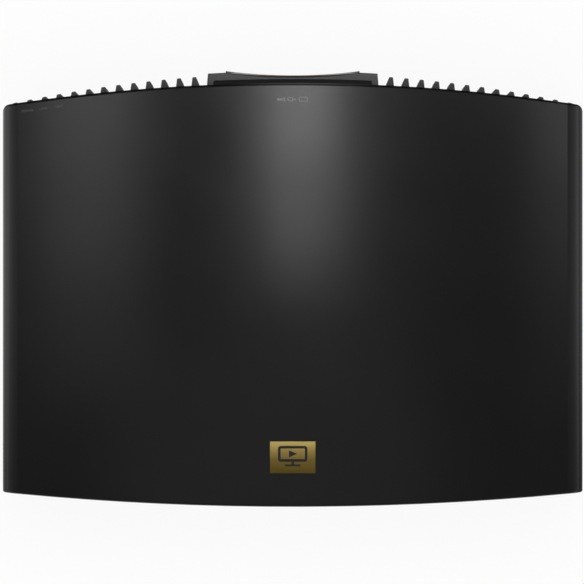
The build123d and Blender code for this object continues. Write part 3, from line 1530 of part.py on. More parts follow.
with BuildPart() as ballast:
    with Locations((ballast_mid_x, ballast_mid_y, board_z)):
        Box(ballast_width, ballast_length, board_thickness, align=LOW)
    with Locations((ballast_mid_x, ballast_mid_y, board_z + board_thickness / 2)):
        for places, size in (ballast_transformer, ballast_plug):
            with Locations(*places):
                Box(*size, align=LOW)
        with Locations(*ballast_caps[0]):
            Cylinder(*ballast_caps[1], align=LOW)
save(ballast.part, "ballast")
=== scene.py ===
# %% [markdown]
# # A home projector, photographed from straight above
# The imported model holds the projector's sixty solids, each in its place, in metres. This file gives every
# one of them a finish, adds the thin printed, woven and turned things that a solid model leaves out, and
# sets up a plain studio. The object is black on white, so most of its shape is told by reflections and
# not by colour.

# %% Load the solids and keep their box
import json
import math

import bmesh
import bpy
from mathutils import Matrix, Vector


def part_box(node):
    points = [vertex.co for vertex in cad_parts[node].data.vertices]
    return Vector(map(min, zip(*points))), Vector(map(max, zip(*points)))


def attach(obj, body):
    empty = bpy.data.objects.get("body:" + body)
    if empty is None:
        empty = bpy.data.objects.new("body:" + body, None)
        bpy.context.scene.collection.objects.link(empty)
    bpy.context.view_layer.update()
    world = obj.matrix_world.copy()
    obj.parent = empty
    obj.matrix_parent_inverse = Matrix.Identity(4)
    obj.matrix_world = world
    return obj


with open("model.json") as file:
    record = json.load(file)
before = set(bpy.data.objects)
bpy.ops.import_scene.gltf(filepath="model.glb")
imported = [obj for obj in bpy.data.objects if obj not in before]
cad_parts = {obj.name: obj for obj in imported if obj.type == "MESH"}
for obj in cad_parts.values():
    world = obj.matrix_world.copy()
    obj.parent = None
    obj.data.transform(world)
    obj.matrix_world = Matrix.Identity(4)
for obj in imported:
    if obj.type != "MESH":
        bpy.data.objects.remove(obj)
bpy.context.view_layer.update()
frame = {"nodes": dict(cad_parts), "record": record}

NODES = frame["nodes"]
MM = 0.001

# %% [markdown]
# ## The camera
# The photograph looks straight down, and both sides of the casing stay upright lines in it, so it was
# taken from far away with a long lens. A long perspective lens gives that look and still behaves in other
# views. The picture is square, its top is the projector's front, and its right is the side with the
# smaller x.

# %% Hang the camera over the cover
PICTURE_WIDTH = 0.49665  # metres across the square picture, at the height of the casing's widest section
PICTURE_MIDDLE = (0.0006, 0.0028)
LENS, SENSOR = 500.0, 36.0
EDGE_DROP = 0.021  # the casing is widest this far below the top of the cover
cover_low, cover_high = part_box("top_cover")
WIDEST = cover_high.z - EDGE_DROP
camera = bpy.data.objects.new("camera", bpy.data.cameras.new("camera"))
camera.data.lens, camera.data.sensor_width = LENS, SENSOR
camera.data.clip_end = 100.0
camera.location = (*PICTURE_MIDDLE, WIDEST + PICTURE_WIDTH * LENS / SENSOR)
camera.rotation_euler = (0.0, 0.0, math.pi)
bpy.context.scene.collection.objects.link(camera)
bpy.context.scene.camera = camera
bpy.context.scene.view_settings.view_transform = "Standard"
print("camera height", round(camera.location.z, 3), "m")

# %% [markdown]
# ## Shader sums as Python
# A finish is a small calculation at each point of a surface. Wiring Math nodes by hand hides that
# calculation, so Wire wraps an output socket and lets the sum be written as a sum. Nodes wraps a tree,
# and its one method, node, adds any node: the settings come first, then the values or links of its
# sockets. Colours go through Mix nodes and places through Vector Math, because a Math node would turn
# either into a single grey number.

# %% Sockets that can be added and multiplied
class Wire:
    """An output socket whose sums add Math nodes."""

    def __init__(self, nodes, socket):
        self.nodes, self.socket = nodes, socket

    def __add__(self, other):
        return self.nodes.maths("ADD", self, other)

    def __sub__(self, other):
        return self.nodes.maths("SUBTRACT", self, other)

    def __rsub__(self, other):
        return self.nodes.maths("SUBTRACT", other, self)

    def __mul__(self, other):
        return self.nodes.maths("MULTIPLY", self, other)

    def __truediv__(self, other):
        return self.nodes.maths("DIVIDE", self, other)

    def __rtruediv__(self, other):
        return self.nodes.maths("DIVIDE", other, self)

    def __pow__(self, other):
        return self.nodes.maths("POWER", self, other)

    def __rpow__(self, other):
        return self.nodes.maths("POWER", other, self)

    def __gt__(self, other):
        return self.nodes.maths("GREATER_THAN", self, other)

    def __lt__(self, other):
        return self.nodes.maths("LESS_THAN", self, other)

    __radd__ = __add__
    __rmul__ = __mul__


print("wires add, subtract, multiply, divide, raise and compare")

# %% One method for every node
class Nodes:
    """The node tree of a material or a world."""

    def __init__(self, owner):
        owner.use_nodes = True
        self.owner, self.tree = owner, owner.node_tree

    def node(self, kind, settings=None, sockets=None, out=0):
        made = self.tree.nodes.new(kind)
        for name, value in (settings or {}).items():
            if name == "stops":
                ramp = made.color_ramp.elements
                ramp.remove(ramp[1])
                for place, colour in value[1:]:
                    ramp.new(place).color = (*colour, 1.0)
                ramp[0].position, ramp[0].color = value[0][0], (*value[0][1], 1.0)
            elif name == "steps":
                made.color_ramp.interpolation = value
            else:
                setattr(made, name, value)
        self.plug(made, sockets or {})
        return Wire(self, made.outputs[out])

    def plug(self, made, sockets):
        for name, value in sockets.items():
            if isinstance(value, Wire):
                self.tree.links.new(value.socket, made.inputs[name])
            else:
                made.inputs[name].default_value = value

    def maths(self, operation, first, second=0.0):
        return self.node("ShaderNodeMath", {"operation": operation}, {0: first, 1: second})

    def clamped(self, value):
        return self.node("ShaderNodeClamp", None, {"Value": value})

    def mix(self, factor, first, second, blend="MIX"):
        pair = {0: factor, 6: rgba(first), 7: rgba(second)}
        return self.node("ShaderNodeMix", {"data_type": "RGBA", "blend_type": blend}, pair, out=2)


def rgba(colour):
    """A colour as a socket wants it; a wire is left as it is."""
    return colour if isinstance(colour, Wire) else (*colour, 1.0)


print("shader sums ready")

# %% [markdown]
# ## What the finishes have in common
# Every solid sits at the origin with its place in its points, so object coordinates are the part's own
# metres, and a texture of scale 1000 has features of about a millimetre. Finish adds the few measurements
# that nearly every surface needs: noise, its stretched form for brushed and turned metal, bump, and a
# mask of edges, for worn edges that also get a painted highlight. The mask compares the true normal with
# one that is rounded over a small radius, and they differ only near an edge.

# %% Measurements on a surface
EDGE_CONTRAST = 5.0


class Finish(Nodes):
    """A material with the usual measurements and one shader."""

    def __init__(self, name):
        super().__init__(bpy.data.materials.new(name))
        self.shader = self.tree.nodes["Principled BSDF"]
        self.here = self.node("ShaderNodeTexCoord", out="Object")

    def stretched(self, by):
        return self.node("ShaderNodeVectorMath", {"operation": "MULTIPLY"}, {0: self.here, 1: by})

    def noise(self, scale, detail=2.0, by=None):
        place = self.stretched(by) if by else self.here
        return self.node("ShaderNodeTexNoise", None, {"Vector": place, "Scale": scale, "Detail": detail})

    def cells(self, scale):
        return self.node("ShaderNodeTexVoronoi", None, {"Vector": self.here, "Scale": scale}, "Color")

    def bump(self, height, depth):
        return self.node("ShaderNodeBump", None, {"Strength": 1.0, "Distance": depth, "Height": height})

    def axis(self, name):
        return self.node("ShaderNodeSeparateXYZ", None, {"Vector": self.here}, name)

    def edges(self, radius):
        rounded = self.node("ShaderNodeBevel", {"samples": 4}, {"Radius": radius})
        plain = self.node("ShaderNodeNewGeometry", out="Normal")
        same = self.node("ShaderNodeVectorMath", {"operation": "DOT_PRODUCT"}, {0: rounded, 1: plain}, 1)
        return self.clamped((1.0 - same) * EDGE_CONTRAST)

    def surface(self, sockets):
        self.plug(self.shader, sockets)
        return self.owner


def shade(colour, by):
    """The same colour, lighter or darker."""
    return tuple(min(1.0, c * by) for c in colour)


FINISHES = {}
print("measurements ready")

# %% [markdown]
# ## The studio
# A glossy black cover shows its room. In the photograph it shows a dark ceiling with a bright strip lamp
# over the middle of the front, a dimmer one to the left and a thin one to the right. The room here is the
# same. The world is dark overhead and turns pale towards the horizon, and the lamps end over the middle
# of the cover, so that their reflections fade towards the rear. Three faint glows even out what lies
# between them.

# %% A world that is dark overhead and pale at the horizon
HORIZON_LEVEL, CEILING_LEVEL, FALLING_OFF = 1.0, 0.09, 2.5
world = bpy.data.worlds.new("studio")
bpy.context.scene.world = world
room = Nodes(world)
way = room.node("ShaderNodeTexCoord", out="Generated")
up = room.node("ShaderNodeSeparateXYZ", None, {"Vector": way}, "Z")
paleness = (1.0 - room.clamped(up)) ** FALLING_OFF
plain_white = (1.0, 1.0, 1.0, 1.0)
ceiling, horizon = (room.node("ShaderNodeBackground", None, {"Color": plain_white, "Strength": level})
                    for level in (CEILING_LEVEL, HORIZON_LEVEL))
dome = room.node("ShaderNodeMixShader", None, {0: paleness, 1: ceiling, 2: horizon})
room.plug(room.tree.nodes["World Output"], {"Surface": dome})
print("world: horizon", HORIZON_LEVEL, "ceiling", CEILING_LEVEL)

# %% Strip lamps over the cover
STRIP_Z = 1.65
# Name, middle, size across and along, and brightness of the lamp's face
LAMPS = (
    ("strip_front", (-0.012, -0.445), (0.11, 0.61), 5.5),
    ("strip_middle", (-0.012, -0.08), (0.11, 0.12), 2.8),
    ("left_strip_front", (0.330, -0.445), (0.16, 0.61), 1.65),
    ("left_strip_middle", (0.330, -0.08), (0.16, 0.12), 0.9),
    ("left_strip_rear", (0.330, 0.04), (0.16, 0.12), 0.32),
    ("right_strip_front", (-0.45, -0.445), (0.07, 0.61), 2.2),
    ("right_strip_middle", (-0.45, -0.08), (0.07, 0.12), 0.9),
    ("right_strip_rear", (-0.45, 0.04), (0.07, 0.12), 0.3),
    ("front_glow", (-0.29, -0.35), (0.24, 0.32), 0.26),
    ("middle_glow", (-0.145, -0.055), (0.10, 0.16), 0.13),
    ("rear_glow", (0.03, 0.25), (0.50, 0.40), 0.16),
)


def area_lamp(name, middle, size, brightness):
    lamp = bpy.data.lights.new(name, "AREA")
    lamp.shape, lamp.size, lamp.size_y = "RECTANGLE", *size
    lamp.energy = brightness * math.pi * size[0] * size[1]
    holder = bpy.data.objects.new(name, lamp)
    holder.location = middle
    holder.visible_camera = False
    bpy.context.scene.collection.objects.link(holder)
    return holder


for name, (x, y), size, brightness in LAMPS:
    area_lamp(name, (x, y, STRIP_Z), size, brightness)
print("lamps", len(LAMPS))

# %% [markdown]
# ## A level at which colours look as written
# The lamps above are there for their reflections and give little light. A matt colour renders as it is
# written when the light that falls on it adds up to that of a white sky, so one very large, soft lamp
# high above fills the room up to that level. It doesn't show in reflections, because the ceiling in the
# photograph is dark.

# %% A large soft fill
FILL_LEVEL, FILL_SIZE, FILL_Z = 2.75, 3.0, 3.0
fill = area_lamp("fill", (0.0, 0.0, FILL_Z), (FILL_SIZE, FILL_SIZE), FILL_LEVEL)
fill.visible_glossy = False
print("fill", round(fill.data.energy, 1), "W")

# %% [markdown]
# ## Cards for the edges
# A photographer puts cards round a black object, so that its edges have something to reflect. Here a
# curved pale wall stands at each side, brighter towards the floor and dimmer towards the rear, and gives
# the rolled edges their even gradient. A dimmer card lies on the floor below it, for the part of the edge
# that looks down. A black strip stands close to the front edge and a black card lies on the floor below
# it. They draw the dark line of that edge, and in its middle the strip lamp leaves a soft streak. Only
# reflections see the cards.

# %% Sheets that only reflections see
EDGE_X, EDGE_Z, WALL_REACH = 0.235, 0.142, 1.2
WALL_START, WALL_STOP = math.radians(10.5), math.radians(92)
WALL_FRONT, WALL_REAR = -1.3, 0.6
WALL_STEPS = 24
FLOOR_CARD_X = 0.30  # where a floor card starts, beside the casing
CARD_LIFT = 0.003  # floor cards lie this far above the floor
REAR_FADE = {"From Min": -0.06, "From Max": 0.24, "To Min": 1.0, "To Max": 0.35}
FRONT_FADE = {"From Min": -0.75, "From Max": -0.4, "To Min": 0.15, "To Max": 1.0}


def card(name, rows, material):
    """A sheet through rows of points."""
    mesh = bpy.data.meshes.new(name)
    wide = len(rows[0])
    corners = [(i * wide + j, i * wide + j + 1, (i + 1) * wide + j + 1, (i + 1) * wide + j)
               for i in range(len(rows) - 1) for j in range(wide - 1)]
    mesh.from_pydata([point for row in rows for point in row], [], corners)
    mesh.materials.append(material)
    sheet = bpy.data.objects.new(name, mesh)
    bpy.context.scene.collection.objects.link(sheet)
    sheet.visible_camera = sheet.visible_diffuse = sheet.visible_shadow = sheet.visible_transmission = False


def card_tree(name):
    """The nodes of a glowing card, and the places x, y and z on it."""
    tree = Nodes(bpy.data.materials.new(name))
    here = tree.node("ShaderNodeTexCoord", out="Object")
    return tree, [tree.node("ShaderNodeSeparateXYZ", None, {"Vector": here}, axis) for axis in "XYZ"]


def smooth_range(tree, value, span):
    return tree.node("ShaderNodeMapRange", {"interpolation_type": "SMOOTHSTEP"}, {"Value": value, **span})


def glowing(tree, level):
    light = tree.node("ShaderNodeEmission", None, {"Color": level})
    tree.plug(tree.tree.nodes["Material Output"], {"Surface": light})
    return tree.owner


print("card tools ready")

# %% Pale walls at the sides and dim cards on the floor
GLOW_TOP, GLOW_BAND, GLOW_FOOT, GLOW_POWER = 0.15, 0.27, 0.95, 1.9
BAND_STEEPNESS = 12.0


def wall_glow(name, level):
    """Light that grows from the top of a wall to its foot and fades to the front and rear."""
    wall, (x, y, z) = card_tree(name)
    lean = wall.maths("ARCTAN2", wall.maths("ABSOLUTE", x) - EDGE_X, z - EDGE_Z)
    down = wall.clamped((lean - WALL_START) / (WALL_STOP - WALL_START))
    band = wall.clamped(down * BAND_STEEPNESS)
    fade = smooth_range(wall, y, REAR_FADE) * smooth_range(wall, y, FRONT_FADE)
    return glowing(wall, (GLOW_TOP + GLOW_BAND * band + GLOW_FOOT * down ** GLOW_POWER) * fade * level)


leans = [WALL_START + (WALL_STOP - WALL_START) * k / WALL_STEPS for k in range(WALL_STEPS + 1)]
arch = [(EDGE_X + WALL_REACH * math.sin(a), EDGE_Z + WALL_REACH * math.cos(a)) for a in leans]
ground = [(FLOOR_CARD_X, CARD_LIFT), (EDGE_X + WALL_REACH, CARD_LIFT)]
# Name, side, section and brightness
WALLS = (("left_wall", 1, arch, 1.0), ("right_wall", -1, arch, 0.85),
         ("left_floor_card", 1, ground, 0.70), ("right_floor_card", -1, ground, 0.33))
for name, side, section, level in WALLS:
    rows = [[(side * x, y, z) for y in (WALL_FRONT, WALL_REAR)] for x, z in section]
    card(name, rows, wall_glow(name, level))
print("side cards", len(WALLS), "at", WALL_REACH, "m from the edges")

# %% Black cards in front with a streak
STREAK_X, STREAK_LEVEL = -0.012, 0.6
LIP_Y, LIP_FOOT, LIP_TOP, LIP_HALF, LIP_STREAK = -0.200, 0.140, 0.187, 0.30, 0.074
LYING_FAR, LYING_NEAR, LYING_HALF, LYING_STREAK = -1.2, -0.22, 2.5, 0.09
lip = [(LIP_Y, LIP_TOP), (LIP_Y, LIP_FOOT)]
lying = [(LYING_FAR, CARD_LIFT), (LYING_NEAR, CARD_LIFT)]


def streaked(name, half):
    """Black, with a soft streak of the given half width."""
    tree, places = card_tree(name)
    aside = tree.maths("ABSOLUTE", places[0] - STREAK_X)
    fade = {"From Min": 0.0, "From Max": half, "To Min": STREAK_LEVEL, "To Max": 0.0}
    return glowing(tree, smooth_range(tree, aside, fade))


# Name, section, half its length and half the streak's width
FRONT_CARDS = (("front_lip_card", lip, LIP_HALF, LIP_STREAK),
               ("front_floor_card", lying, LYING_HALF, LYING_STREAK))
for name, section, reach, half in FRONT_CARDS:
    card(name, [[(side * reach, y, z) for side in (-1, 1)] for y, z in section], streaked(name, half))
print("front cards", len(FRONT_CARDS))

# %% [markdown]
# ## The floor
# The background of the picture is the white floor round the projector. A floor that is lit until it is
# white would also throw that light at the object, so most of its whiteness is only for the rays that look
# at it, straight or in a reflection. The rest is an ordinary matt floor, which keeps the shadow.

# %% A white floor that keeps a shadow
FLOOR_HALF, FLOOR_GLOW = 3.0, 0.90
PAPER = (0.95, 0.95, 0.95, 1.0)
floor_mesh = bpy.data.meshes.new("floor")
corners = [(sx * FLOOR_HALF, sy * FLOOR_HALF, 0.0) for sx, sy in ((-1, -1), (1, -1), (1, 1), (-1, 1))]
floor_mesh.from_pydata(corners, [], [(0, 1, 2, 3)])
floor = bpy.data.objects.new("floor", floor_mesh)
bpy.context.scene.collection.objects.link(floor)
paper = Nodes(bpy.data.materials.new("floor_paper"))
matt = paper.node("ShaderNodeBsdfDiffuse", None, {"Color": PAPER})
white = paper.node("ShaderNodeEmission", None, {"Color": plain_white, "Strength": 1.0})
looks = [paper.node("ShaderNodeLightPath", out=f"Is {kind} Ray")
         for kind in ("Camera", "Glossy", "Transmission")]
looking = paper.clamped(looks[0] + looks[1] + looks[2])
mixed = paper.node("ShaderNodeMixShader", None, {0: looking * FLOOR_GLOW, 1: matt, 2: white})
paper.plug(paper.tree.nodes["Material Output"], {"Surface": mixed})
floor_mesh.materials.append(paper.owner)
print("floor", 2 * FLOOR_HALF, "m square")

# %% [markdown]
# ## Satin cover
# The cover is a moulding with a silk lacquer: nearly black, smooth enough to draw a lamp as a soft
# streak, and with the faint orange peel that sprayed lacquer always has. A plain roughness would look
# like glass paint, so roughness drifts a little over the surface and the peel goes into the bump.

# %% Silk lacquer
def silk_lacquer(name, colour, rough):
    paint = Finish(name)
    drift = paint.noise(14.0, 3.0)
    peel = paint.noise(700.0, 1.0)
    dust = paint.noise(5200.0, 0.0) > 0.74
    base = paint.mix(drift, shade(colour, 0.88), shade(colour, 1.12))
    base = paint.mix(dust * 0.35, base, shade(colour, 3.0))
    return paint.surface({
        "Base Color": base, "Roughness": rough + (drift - 0.5) * 0.05 + dust * 0.06,
        "Normal": paint.bump(peel, 1.5e-6), "Specular IOR Level": 0.5})


FINISHES["cover_black"] = silk_lacquer("cover_silk", (0.0048, 0.0048, 0.0049), 0.15)
print("made", FINISHES["cover_black"].name)

# %% [markdown]
# ## Grained mouldings
# The case, the keys, the rings and the rubber are moulded in tools whose walls were etched, so their skin
# has a fine grain of rounded bumps, and its valleys are darkened in colour as painted shade. They differ in
# colour, in gloss and in the size and depth of the grain. One function makes them all, with edges that
# handling has rubbed shinier and paler, the paler colour partly a painted edge highlight. The grain mixes
# two noises so that it doesn't look like a regular pattern.

# %% Etched grain with painted shade in its valleys, and rubbed edges with a painted highlight
RUB_AND_HIGHLIGHT, RUB_AND_HIGHLIGHT_RADIUS = 0.4, 0.7 * MM


def etched_moulding(name, colour, rough, grain, depth):
    paint = Finish(name)
    drift = paint.noise(22.0, 3.0)
    bumps = paint.noise(grain, 2.0) * 0.65 + paint.noise(grain * 2.7, 1.0) * 0.35
    rub_and_highlight = paint.edges(RUB_AND_HIGHLIGHT_RADIUS) * (0.5 + drift * 0.5) * RUB_AND_HIGHLIGHT
    base = paint.mix(drift, shade(colour, 0.85), shade(colour, 1.15))
    # Painted shade: the colour is darkened towards 0.45 in the valleys of the grain.
    base = paint.mix(bumps, shade(colour, 0.45), base)
    # Paler rubbed edges: partly wear, partly a painted edge highlight.
    base = paint.mix(rub_and_highlight, base, shade(colour, 2.6))
    return paint.surface({
        "Base Color": base, "Roughness": rough + (bumps - 0.5) * 0.16 - rub_and_highlight * 0.3,
        "Normal": paint.bump(bumps, depth)})


# Slot, colour, roughness, and the scale and depth of the grain
for slot, *look in (
        ("case_black", (0.024, 0.024, 0.025), 0.52, 2100.0, 4e-5),
        ("grille_black", (0.044, 0.044, 0.045), 0.46, 1000.0, 8e-5),
        ("key_grey", (0.065, 0.065, 0.067), 0.50, 2600.0, 2e-5),
        ("ring_black", (0.026, 0.026, 0.027), 0.42, 2400.0, 2e-5),
        ("rubber", (0.028, 0.028, 0.028), 0.78, 1700.0, 5e-5)):
    FINISHES[slot] = etched_moulding(f"{slot}_moulded", *look)
    print("made", FINISHES[slot].name)

# %% [markdown]
# ## Polished black and smoked windows
# The lens bezel, the keypad's plate and the mains inlet are polished black, and the strip in the hood is
# a window that only lets infrared through, so it looks like very dark red glass. Polished plastic always
# carries hairline scratches. They are noise stretched a long way in one direction, and they change the
# roughness only.

# %% Polish with hairlines
def polished(name, colour, rough, sheen_level):
    paint = Finish(name)
    smear = paint.noise(18.0, 3.0)
    hair = paint.noise(1.0, 2.0, by=(2600.0, 60.0, 1900.0)) > 0.63
    base = paint.mix(smear, shade(colour, 0.8), shade(colour, 1.25))
    return paint.surface({
        "Base Color": base, "Roughness": rough + smear * 0.06 + hair * 0.05,
        "Specular IOR Level": sheen_level, "Normal": paint.bump(paint.noise(260.0), 2e-6)})


FINISHES["bezel_black"] = polished("bezel_polished", (0.010, 0.010, 0.011), 0.30, 0.25)
FINISHES["dark_window"] = polished("window_smoked", (0.004, 0.003, 0.003), 0.42, 0.25)
print("made", FINISHES["bezel_black"].name, FINISHES["dark_window"].name)

# %% [markdown]
# ## Brushed gold
# The badge and the trim in the bezel are thin metal, brushed along x and lacquered. The badge's colour is
# graded as a painted reflection of the front lamps: pale straw at its front edge, and soon deep bronze
# towards its rear. The trim's colour is gold in the middle, runs out to plain grey and ends dark. Brushing
# is noise that hardly changes along the stroke and changes fast across it; it moves the colour, the
# roughness and the bump together. Where a point lies in the grading is its colour's place in a ramp.

# %% Brushed strokes over a graded colour
def brushed(name, metallic, place_of, stops):
    """Brushed metal over a graded colour; place_of gives a point's place in the ramp of its colours."""
    paint = Finish(name)
    strokes = paint.noise(1.0, 3.0, by=(70.0, 5200.0, 5200.0))
    cloud = paint.noise(60.0, 2.0)
    place_in = paint.clamped(place_of(paint) + (cloud - 0.5) * 0.12)
    graded_colour = paint.node("ShaderNodeValToRGB", {"stops": stops}, {"Fac": place_in})
    base = paint.mix(strokes * 0.5, graded_colour, (0.4, 0.4, 0.4), "MULTIPLY")
    return paint.surface({
        "Base Color": base, "Metallic": metallic, "Roughness": 0.36 + (strokes - 0.5) * 0.22,
        "Specular IOR Level": 0.25, "Normal": paint.bump(strokes, 4e-6)})


print("brush ready")

# %% Badge gold and trim gold
badge_low, badge_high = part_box("badge_plate")
trim_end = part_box("bezel_trim")[1].x
# Painted reflection: the badge's colour runs from pale at its front edge to dark at its rear.
BADGE_PAINTED_REFLECTION_STOPS = ((0.05, (0.52, 0.40, 0.115)), (0.30, (0.30, 0.21, 0.054)),
               (0.58, (0.16, 0.11, 0.018)), (1.0, (0.085, 0.057, 0.002)))
TRIM_STOPS = ((0.0, (0.36, 0.27, 0.16)), (0.40, (0.34, 0.27, 0.19)), (0.60, (0.36, 0.35, 0.34)),
              (0.86, (0.26, 0.26, 0.26)), (0.97, (0.05, 0.05, 0.05)))


def front_to_rear(paint):
    return (paint.axis("Y") - badge_low.y) / (badge_high.y - badge_low.y)


def middle_to_ends(paint):
    return paint.maths("ABSOLUTE", paint.axis("X")) / trim_end


badge_gold = brushed("badge_gold", 0.35, front_to_rear, BADGE_PAINTED_REFLECTION_STOPS)
FINISHES["gold_trim"] = brushed("trim_gold", 0.6, middle_to_ends, TRIM_STOPS)
print("made", FINISHES["gold_trim"].name, badge_gold.name)

# %% [markdown]
# ## Worked metals
# Screws and socket shells are plated steel, inserts are turned brass, the light engine is die-cast alloy,
# the lens barrel is turned and anodised black, and the lamp cage is pressed zinc sheet with its crystal
# spangle. They differ in colour and in the tool that made the surface, so the tool is a parameter: the
# direction in which its marks stretch.

# %% Metal with tool marks
def worked_metal(name, colour, rough, marks, depth, metallic=1.0, spangle=0.0):
    paint = Finish(name)
    lines = paint.noise(1.0, 3.0, by=marks)
    stain = paint.noise(45.0, 3.0)
    edge = paint.edges(0.5 * MM)
    base = paint.mix(lines, shade(colour, 0.8), shade(colour, 1.15))
    if spangle:
        crystal = paint.cells(spangle)
        base = paint.mix(0.18, base, crystal, "OVERLAY")
    # Paler edges: partly worn metal, partly a painted edge highlight.
    base = paint.mix(edge * 0.5, base, shade(colour, 1.5))
    return paint.surface({
        "Base Color": base, "Metallic": metallic,
        "Roughness": rough + (lines - 0.5) * 0.2 + (stain - 0.5) * 0.15,
        "Normal": paint.bump(lines, depth)})


# Slot, colour, roughness, stretch and depth of the tool marks, how metallic, and the spangle's scale
for slot, *look in (
        ("steel", (0.55, 0.55, 0.56), 0.30, (900.0, 900.0, 900.0), 3e-6),
        ("brass", (0.72, 0.50, 0.20), 0.30, (300.0, 300.0, 5000.0), 5e-6),
        ("engine_alloy", (0.42, 0.42, 0.43), 0.50, (1300.0, 1300.0, 1300.0), 3e-5, 0.9),
        ("lens_alloy", (0.020, 0.020, 0.022), 0.36, (60.0, 5200.0, 60.0), 6e-6, 0.5),
        ("lamp_metal", (0.50, 0.50, 0.49), 0.38, (400.0, 400.0, 400.0), 5e-6, 1.0, 160.0),
        ("mirror", (0.86, 0.87, 0.88), 0.06, (500.0, 500.0, 500.0), 1e-7)):
    FINISHES[slot] = worked_metal(f"{slot}_metal", *look)
    print("made", FINISHES[slot].name)

# %% [markdown]
# ## Clear pieces
# The lens glasses carry a thin coating that shows violet and green in reflections, and the indicator
# lamps end in frosted rods. The glass lets all light through and the rods let part of it through, by the
# shader's transmission and a real index. The coating is the shader's own thin film, because a painted
# tint would not change with the angle. The frost is a grain in the roughness and the bump.

# %% Coated glass and frosted rods
def clear(name, colour, rough, frost, through):
    paint = Finish(name)
    grain = paint.noise(2600.0, 2.0)
    film = paint.noise(35.0, 2.0)
    return paint.surface({
        "Base Color": paint.mix(film, colour, shade(colour, 0.93)), "Roughness": rough + grain * frost,
        "IOR": 1.52, "Transmission Weight": through, "Normal": paint.bump(grain, frost * 2e-5)})


FILM_NANOMETRES, FILM_INDEX = 420.0, 1.38
FINISHES["glass"] = clear("lens_glass", (0.90, 0.95, 0.97), 0.01, 0.01, 1.0)
coating = FINISHES["glass"].node_tree.nodes["Principled BSDF"].inputs
coating["Thin Film Thickness"].default_value = FILM_NANOMETRES
coating["Thin Film IOR"].default_value = FILM_INDEX
FINISHES["light_pipe"] = clear("rod_frosted", (0.78, 0.82, 0.84), 0.30, 0.25, 0.35)
print("made", FINISHES["glass"].name, FINISHES["light_pipe"].name)

# %% [markdown]
# ## Colour wheel
# The wheel that colours the light is a ring of dichroic glass segments on a metal hub. Which segment a
# point is in is its angle round the axle, so the angle runs a ramp of plain steps, and the distance from
# the axle tells glass from hub. The wheel's own box gives the axle.

# %% Segments by angle
wheel_low, wheel_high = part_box("color_wheel")
wheel_middle = (wheel_low + wheel_high) / 2
wheel_radius = (wheel_high.z - wheel_low.z) / 2
SEGMENTS = ((0.75, 0.05, 0.04), (0.85, 0.70, 0.06), (0.06, 0.60, 0.12), (0.05, 0.55, 0.70),
            (0.05, 0.10, 0.75), (0.80, 0.82, 0.84))
paint = Finish("wheel_segments")
east, north = paint.axis("Y") - wheel_middle.y, paint.axis("Z") - wheel_middle.z
turn = paint.maths("ARCTAN2", north, east) / (2 * math.pi) + 0.5
steps = [(k / len(SEGMENTS), colour) for k, colour in enumerate(SEGMENTS)]
glass_colour = paint.node("ShaderNodeValToRGB", {"stops": steps, "steps": "CONSTANT"}, {"Fac": turn})
reach = (east ** 2.0 + north ** 2.0) ** 0.5
HUB_SHARE = 0.5
hub = reach < wheel_radius * HUB_SHARE
ripple = paint.noise(300.0, 2.0)
FINISHES["wheel_glass"] = paint.surface({
    "Base Color": paint.mix(hub, glass_colour, (0.5, 0.5, 0.51)), "Metallic": hub * 0.9 + 0.1,
    "Roughness": 0.08 + ripple * 0.08 + hub * 0.2})
print("made", FINISHES["wheel_glass"].name, "radius", round(wheel_radius, 4))

# %% [markdown]
# ## Circuit boards
# Boards sit deep inside and are seen only as a green gleam through the vents. Solder mask is a thin
# glossy varnish over copper, so tracks show as slightly lighter lines. A brick pattern with a thin joint
# gives long tracks with steps. What stands on a board is black or grey, and cells of random grey stand
# for its parts.

# %% Solder mask with tracks
paint = Finish("board_green")
tracks = paint.node("ShaderNodeTexBrick", {"offset": 0.37}, {
    "Vector": paint.here, "Scale": 160.0, "Mortar Size": 0.035}, "Fac")
parts = paint.cells(70.0)
sleeve = paint.mix(0.2, (0.02, 0.02, 0.022), parts, "MULTIPLY")
green = paint.mix(tracks, (0.010, 0.070, 0.028), (0.020, 0.120, 0.045))
standing = paint.noise(25.0, 0.0) > 0.56
FINISHES["board"] = paint.surface({
    "Base Color": paint.mix(standing, green, sleeve), "Roughness": 0.28 + standing * 0.25,
    "Normal": paint.bump(tracks, 2e-5)})
print("made", FINISHES["board"].name)

# %% [markdown]
# ## Hand the finishes out
# The imported record names the material slot of every solid, so dressing them is one loop. Three solids are
# exceptions: the badge shares the trim's slot but has its own graded colour, a painted reflection that is
# pale at the front, the hood is a little paler than the grilles, and the light tunnel is given all over the
# dark paint that the backs of its glass strips carry.

# %% Dress every solid
hood_moulded = etched_moulding("hood_moulded", (0.074, 0.074, 0.075), 0.46, 1300.0, 6e-5)
back_paint = worked_metal("tunnel_back_paint", (0.035, 0.034, 0.034), 0.55, (700.0, 90.0, 90.0), 5e-6, 0.2)
OWN_FINISH = {"badge_plate": badge_gold, "lens_hood": hood_moulded, "light_tunnel": back_paint}
subparts = frame["record"]["subparts"]
for part in subparts:
    solid = NODES[part["node"]]
    chosen = OWN_FINISH.get(part["node"]) or FINISHES[part["material_slot"]]
    if not solid.material_slots:
        solid.data.materials.append(chosen)
    for holder in solid.material_slots:
        holder.material = chosen
print("dressed", len(subparts), "solids with", len(FINISHES) + len(OWN_FINISH), "finishes")

# %% [markdown]
# ## Tools for thin pieces
# Printing, labels and symbols are thin raised films. Each starts as a flat drawing in u and v, gets a
# thickness, and is then laid on the surface that carries it by a function that turns (u, v, height) into
# a place. Real geometry is better than a painted mask here, because it stays sharp at any size and
# exports as it is.

